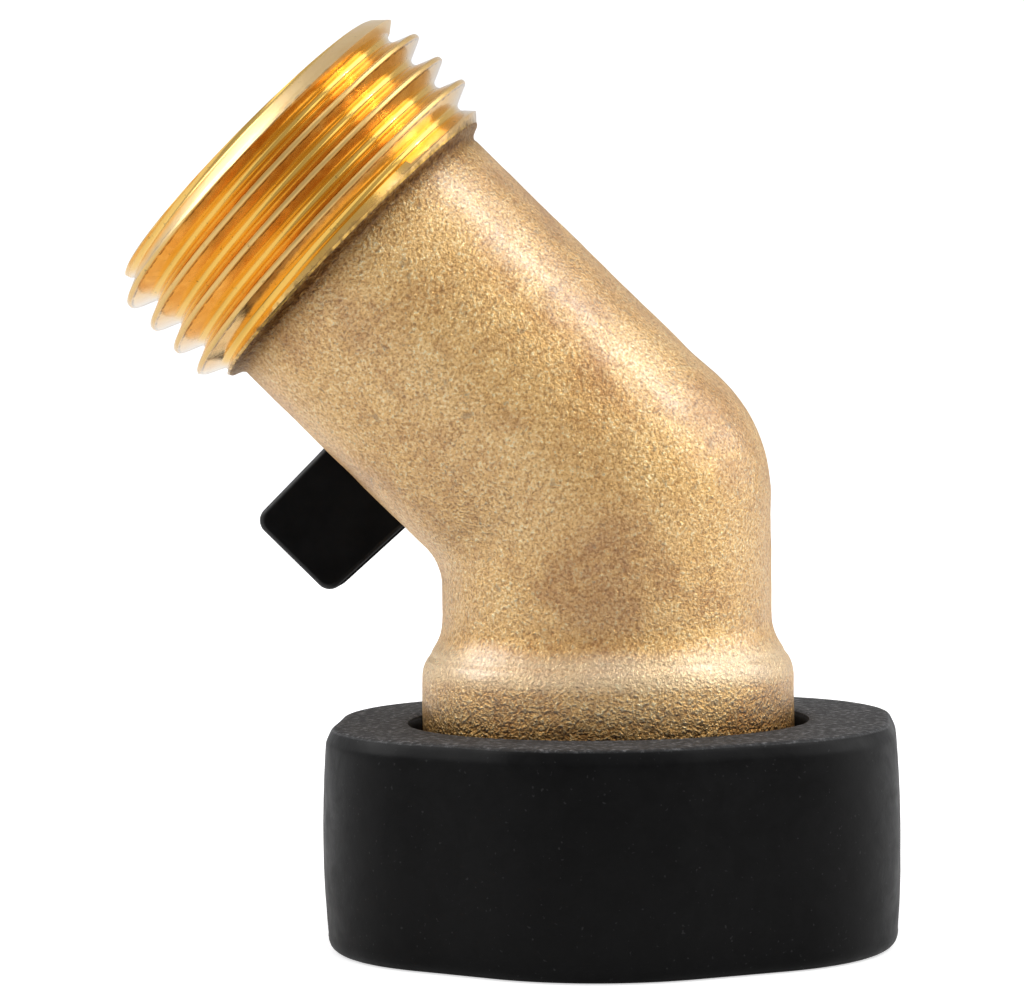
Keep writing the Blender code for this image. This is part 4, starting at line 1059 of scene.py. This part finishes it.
def grip_rubber():
    """Black moulded rubber: grainy on top, smoother and faintly scuffed on the sides."""
    look = Look("grip_rubber_skin")
    grain = look.noise(2500.0, 3.0, 0.65)
    scuff = look.noise(500.0, 5.0, 0.65, 0.5)
    specks = look.noise(3600.0, 1.0, 0.4)
    on_top = look.rise(look.along(*LEG_AXIS), 0.01488, 0.01506)
    side = look.ramp(scuff, ((0.38, (0.0010, 0.0010, 0.0010)), (0.62, (0.0028, 0.0028, 0.0029))))
    stops = ((0.42, (0.026, 0.026, 0.027)), (0.55, (0.056, 0.056, 0.058)), (0.68, (0.20, 0.20, 0.205)))
    colour = look.mix(on_top, side, look.ramp(grain, stops))
    dust = look.span(specks, 0.72, 0.78, 0.0, 0.14)
    colour = look.mix(dust, colour, (0.12, 0.12, 0.12))
    look.set("Base Color", colour)
    side_roughness = look.span(scuff, 0.3, 0.7, 0.34, 0.50)
    look.set("Roughness", look.math("MAXIMUM", side_roughness, look.times(on_top, 0.75)))
    look.set("Specular IOR Level", look.span(on_top, 0.0, 1.0, 0.12, 0.30))
    grain_depth = look.times(grain, look.span(on_top, 0.0, 1.0, 0.08, 1.0))
    look.bump(((scuff, 0.000010), (grain_depth, 0.00010)))
    return look.material


def moulded_plastic():
    look = Look("moulded_plastic_skin")
    grain = look.noise(2400.0, 3.0, 0.55)
    scuff = look.noise(380.0, 4.0, 0.6)
    stops = ((0.35, (0.0055, 0.0056, 0.0058)), (0.7, (0.0090, 0.0092, 0.0096)))
    look.set("Base Color", look.ramp(scuff, stops))
    look.set("Roughness", look.span(grain, 0.3, 0.7, 0.34, 0.48))
    turn = look.rise(look.normal_along((0.0, 1.0, 0.0)), -1.0, 1.0)
    levels = ((0.008, 0.02), (0.05, 0.35), (0.22, 0.35), (0.33, 0.0), (0.60, 0.0), (0.90, 0.40))
    look.set("Specular IOR Level", look.ramp(turn, tuple((at, (level,) * 3) for at, level in levels)))
    look.bump(((grain, 0.000010),))
    return look.material


def soft_rubber(name, tone):
    look = Look(name)
    grain = look.noise(1800.0, 3.0, 0.55)
    look.set("Base Color", look.blotches(grain, (tone * 0.7,) * 3, (tone * 1.3,) * 3))
    look.set("Roughness", look.span(grain, 0.3, 0.7, 0.55, 0.75))
    look.bump(((grain, 0.00002),))
    return look.material


def bright_steel():
    look = Look("bright_steel_skin", 1.0)
    streak = look.noise(900.0, 4.0, 0.6, 1.0)
    look.set("Base Color", look.blotches(streak, (0.50, 0.50, 0.49), (0.70, 0.70, 0.69)))
    look.set("Roughness", look.span(streak, 0.3, 0.7, 0.20, 0.34))
    look.bump(((streak, 0.000006),))
    return look.material


def polished_chrome():
    look = Look("polished_chrome_skin", 1.0)
    haze = look.noise(420.0, 3.0)
    look.set("Base Color", look.blotches(haze, (0.74, 0.75, 0.76), (0.84, 0.84, 0.85)))
    look.set("Roughness", look.span(haze, 0.3, 0.7, 0.04, 0.10))
    return look.material


def pale_plastic(name, colour):
    look = Look(name)
    cloud = look.noise(600.0, 3.0)
    darker = tuple(channel * 0.88 for channel in colour)
    look.set("Base Color", look.blotches(cloud, darker, colour))
    look.set("Roughness", look.span(cloud, 0.3, 0.7, 0.36, 0.48))
    look.set("Subsurface Weight", 0.05)
    look.bump(((cloud, 0.000008),))
    return look.material


def make_looks():
    """Materials by the record's slot names."""
    return {
        "cast_brass": cast_brass(),
        "turned_brass": machined_brass(),
        "black_grip_rubber": grip_rubber(),
        "black_plastic": moulded_plastic(),
        "washer_rubber": soft_rubber("washer_rubber_skin", 0.018),
        "seal_rubber": soft_rubber("seal_rubber_skin", 0.012),
        "stainless_steel": bright_steel(),
        "chromed_ball": polished_chrome(),
        "white_seat": pale_plastic("white_seat_skin", (0.78, 0.78, 0.74)),
        "grey_acetal": pale_plastic("grey_acetal_skin", (0.22, 0.23, 0.24)),
    }


def dress_cad_nodes(looks):
    """Give every carried-over node the material of its slot."""
    for entry in frame["record"]["subparts"]:
        node = frame["nodes"][entry["node"]]
        node.data.materials.clear()
        node.data.materials.append(looks[entry["material_slot"]])


# ---- stage

def stage_paint():
    """White paint whose glow is strong to the camera and weak as a light on the part."""
    look = Look("studio_white")
    look.set("Base Color", (0.80, 0.80, 0.80))
    look.set("Roughness", 0.9)
    look.set("Specular IOR Level", 0.0)
    look.set("Emission Color", (1.0, 1.0, 1.0))
    seen = look.node("LightPath", {}).outputs["Is Camera Ray"]
    look.set("Emission Strength", look.span(seen, 0.0, 1.0, 0.12, 0.60))
    return look.material


def build_stage():
    """Floor that sweeps up into a backdrop."""
    profile = [(-1.2, 0.0), (0.5, 0.0)]
    profile += arc((0.5, 0.5), 0.5, -90.0, 0.0, 12)[1:] + [(1.0, 1.6)]
    points = [(x, y, z) for x in (-2.0, 2.0) for y, z in profile]
    mesh = bpy.data.meshes.new("studio_sweep")
    count = len(profile)
    faces = [(index, index + 1, count + index + 1, count + index) for index in range(count - 1)]
    mesh.from_pydata(points, [], faces)
    mesh.shade_smooth()
    mesh.materials.append(stage_paint())
    new_object("studio_sweep", mesh)


def area_light(name, direction, distance, size, power):
    """A softbox that faces the middle of the part from a direction."""
    light = bpy.data.lights.new(name, "AREA")
    light.shape = "RECTANGLE"
    light.size = size[0]
    light.size_y = size[1]
    light.energy = power
    lamp = new_object(name, light)
    aim = Vector((0.0, 0.0, 0.032))
    lamp.location = aim + Vector(direction).normalized() * distance
    lamp.rotation_euler = (aim - lamp.location).to_track_quat("-Z", "Y").to_euler()


def build_world():
    """Bright tent that is darker on the camera's side."""
    world = bpy.data.worlds.new("studio")
    bpy.context.scene.world = world
    world.use_nodes = True
    nodes = world.node_tree.nodes
    links = world.node_tree.links
    place = nodes.new("ShaderNodeTexCoord")
    facing = nodes.new("ShaderNodeVectorMath")
    facing.operation = "DOT_PRODUCT"
    facing.inputs[1].default_value = (0.08, -0.99, 0.0)
    links.new(place.outputs["Generated"], facing.inputs[0])
    fade = nodes.new("ShaderNodeMapRange")
    fade.interpolation_type = "SMOOTHSTEP"
    for name, value in (("From Min", 0.35), ("From Max", 0.97), ("To Min", 0.56), ("To Max", 0.45)):
        fade.inputs[name].default_value = value
    links.new(facing.outputs["Value"], fade.inputs["Value"])
    nodes["Background"].inputs["Color"].default_value = (0.98, 0.98, 1.0, 1.0)
    links.new(fade.outputs["Result"], nodes["Background"].inputs["Strength"])


def build_lights():
    build_world()
    area_light("softbox_right", (0.76, 0.08, 0.60), 0.60, (0.52, 0.46), 1.30)
    area_light("softbox_left", (-0.80, 0.09, 0.58), 0.60, (0.36, 0.36), 1.45)
    area_light("side_panel", (0.92, 0.36, 0.22), 0.60, (0.40, 0.30), 0.35)
    area_light("fill_front", (0.15, -0.55, 0.82), 0.70, (0.45, 0.26), 0.34)
    area_light("key", (0.64, 0.0, 0.77), 0.60, (0.02, 0.02), 0.26)


def build_camera():
    sideways = Vector((math.cos(CAMERA_AZIMUTH), math.sin(CAMERA_AZIMUTH), 0.0))
    level = Vector((math.sin(CAMERA_AZIMUTH), -math.cos(CAMERA_AZIMUTH), 0.0))
    back = level * math.cos(CAMERA_ELEVATION) + Vector(UP) * math.sin(CAMERA_ELEVATION)
    aim = SWIVEL + (sideways * CAMERA_AIM_X + Vector(UP) * CAMERA_AIM_Z) * MM
    camera_data = bpy.data.cameras.new("camera")
    camera_data.lens = CAMERA_FOCAL
    camera_data.sensor_width = 36.0
    camera_data.clip_start = 0.01
    camera = new_object("camera", camera_data)
    facing = back.to_track_quat("Z", "Y").to_matrix().to_4x4()
    place = Matrix.Translation(aim + back * CAMERA_DISTANCE * MM)
    camera.matrix_world = place @ facing @ Matrix.Rotation(CAMERA_ROLL, 4, "Z")
    bpy.context.scene.camera = camera


def build_all():
    looks = make_looks()
    dress_cad_nodes(looks)
    builders = (
        build_elbow, build_nut, build_grip, build_washer, build_screen, build_spring,
        build_retainer, build_outer_seat, build_ball, build_lever, build_lever_screw,
    )
    for build in builders:
        build(looks)
    build_stage()
    build_lights()
    build_camera()
    bpy.context.scene.view_settings.view_transform = "Standard"


build_all()
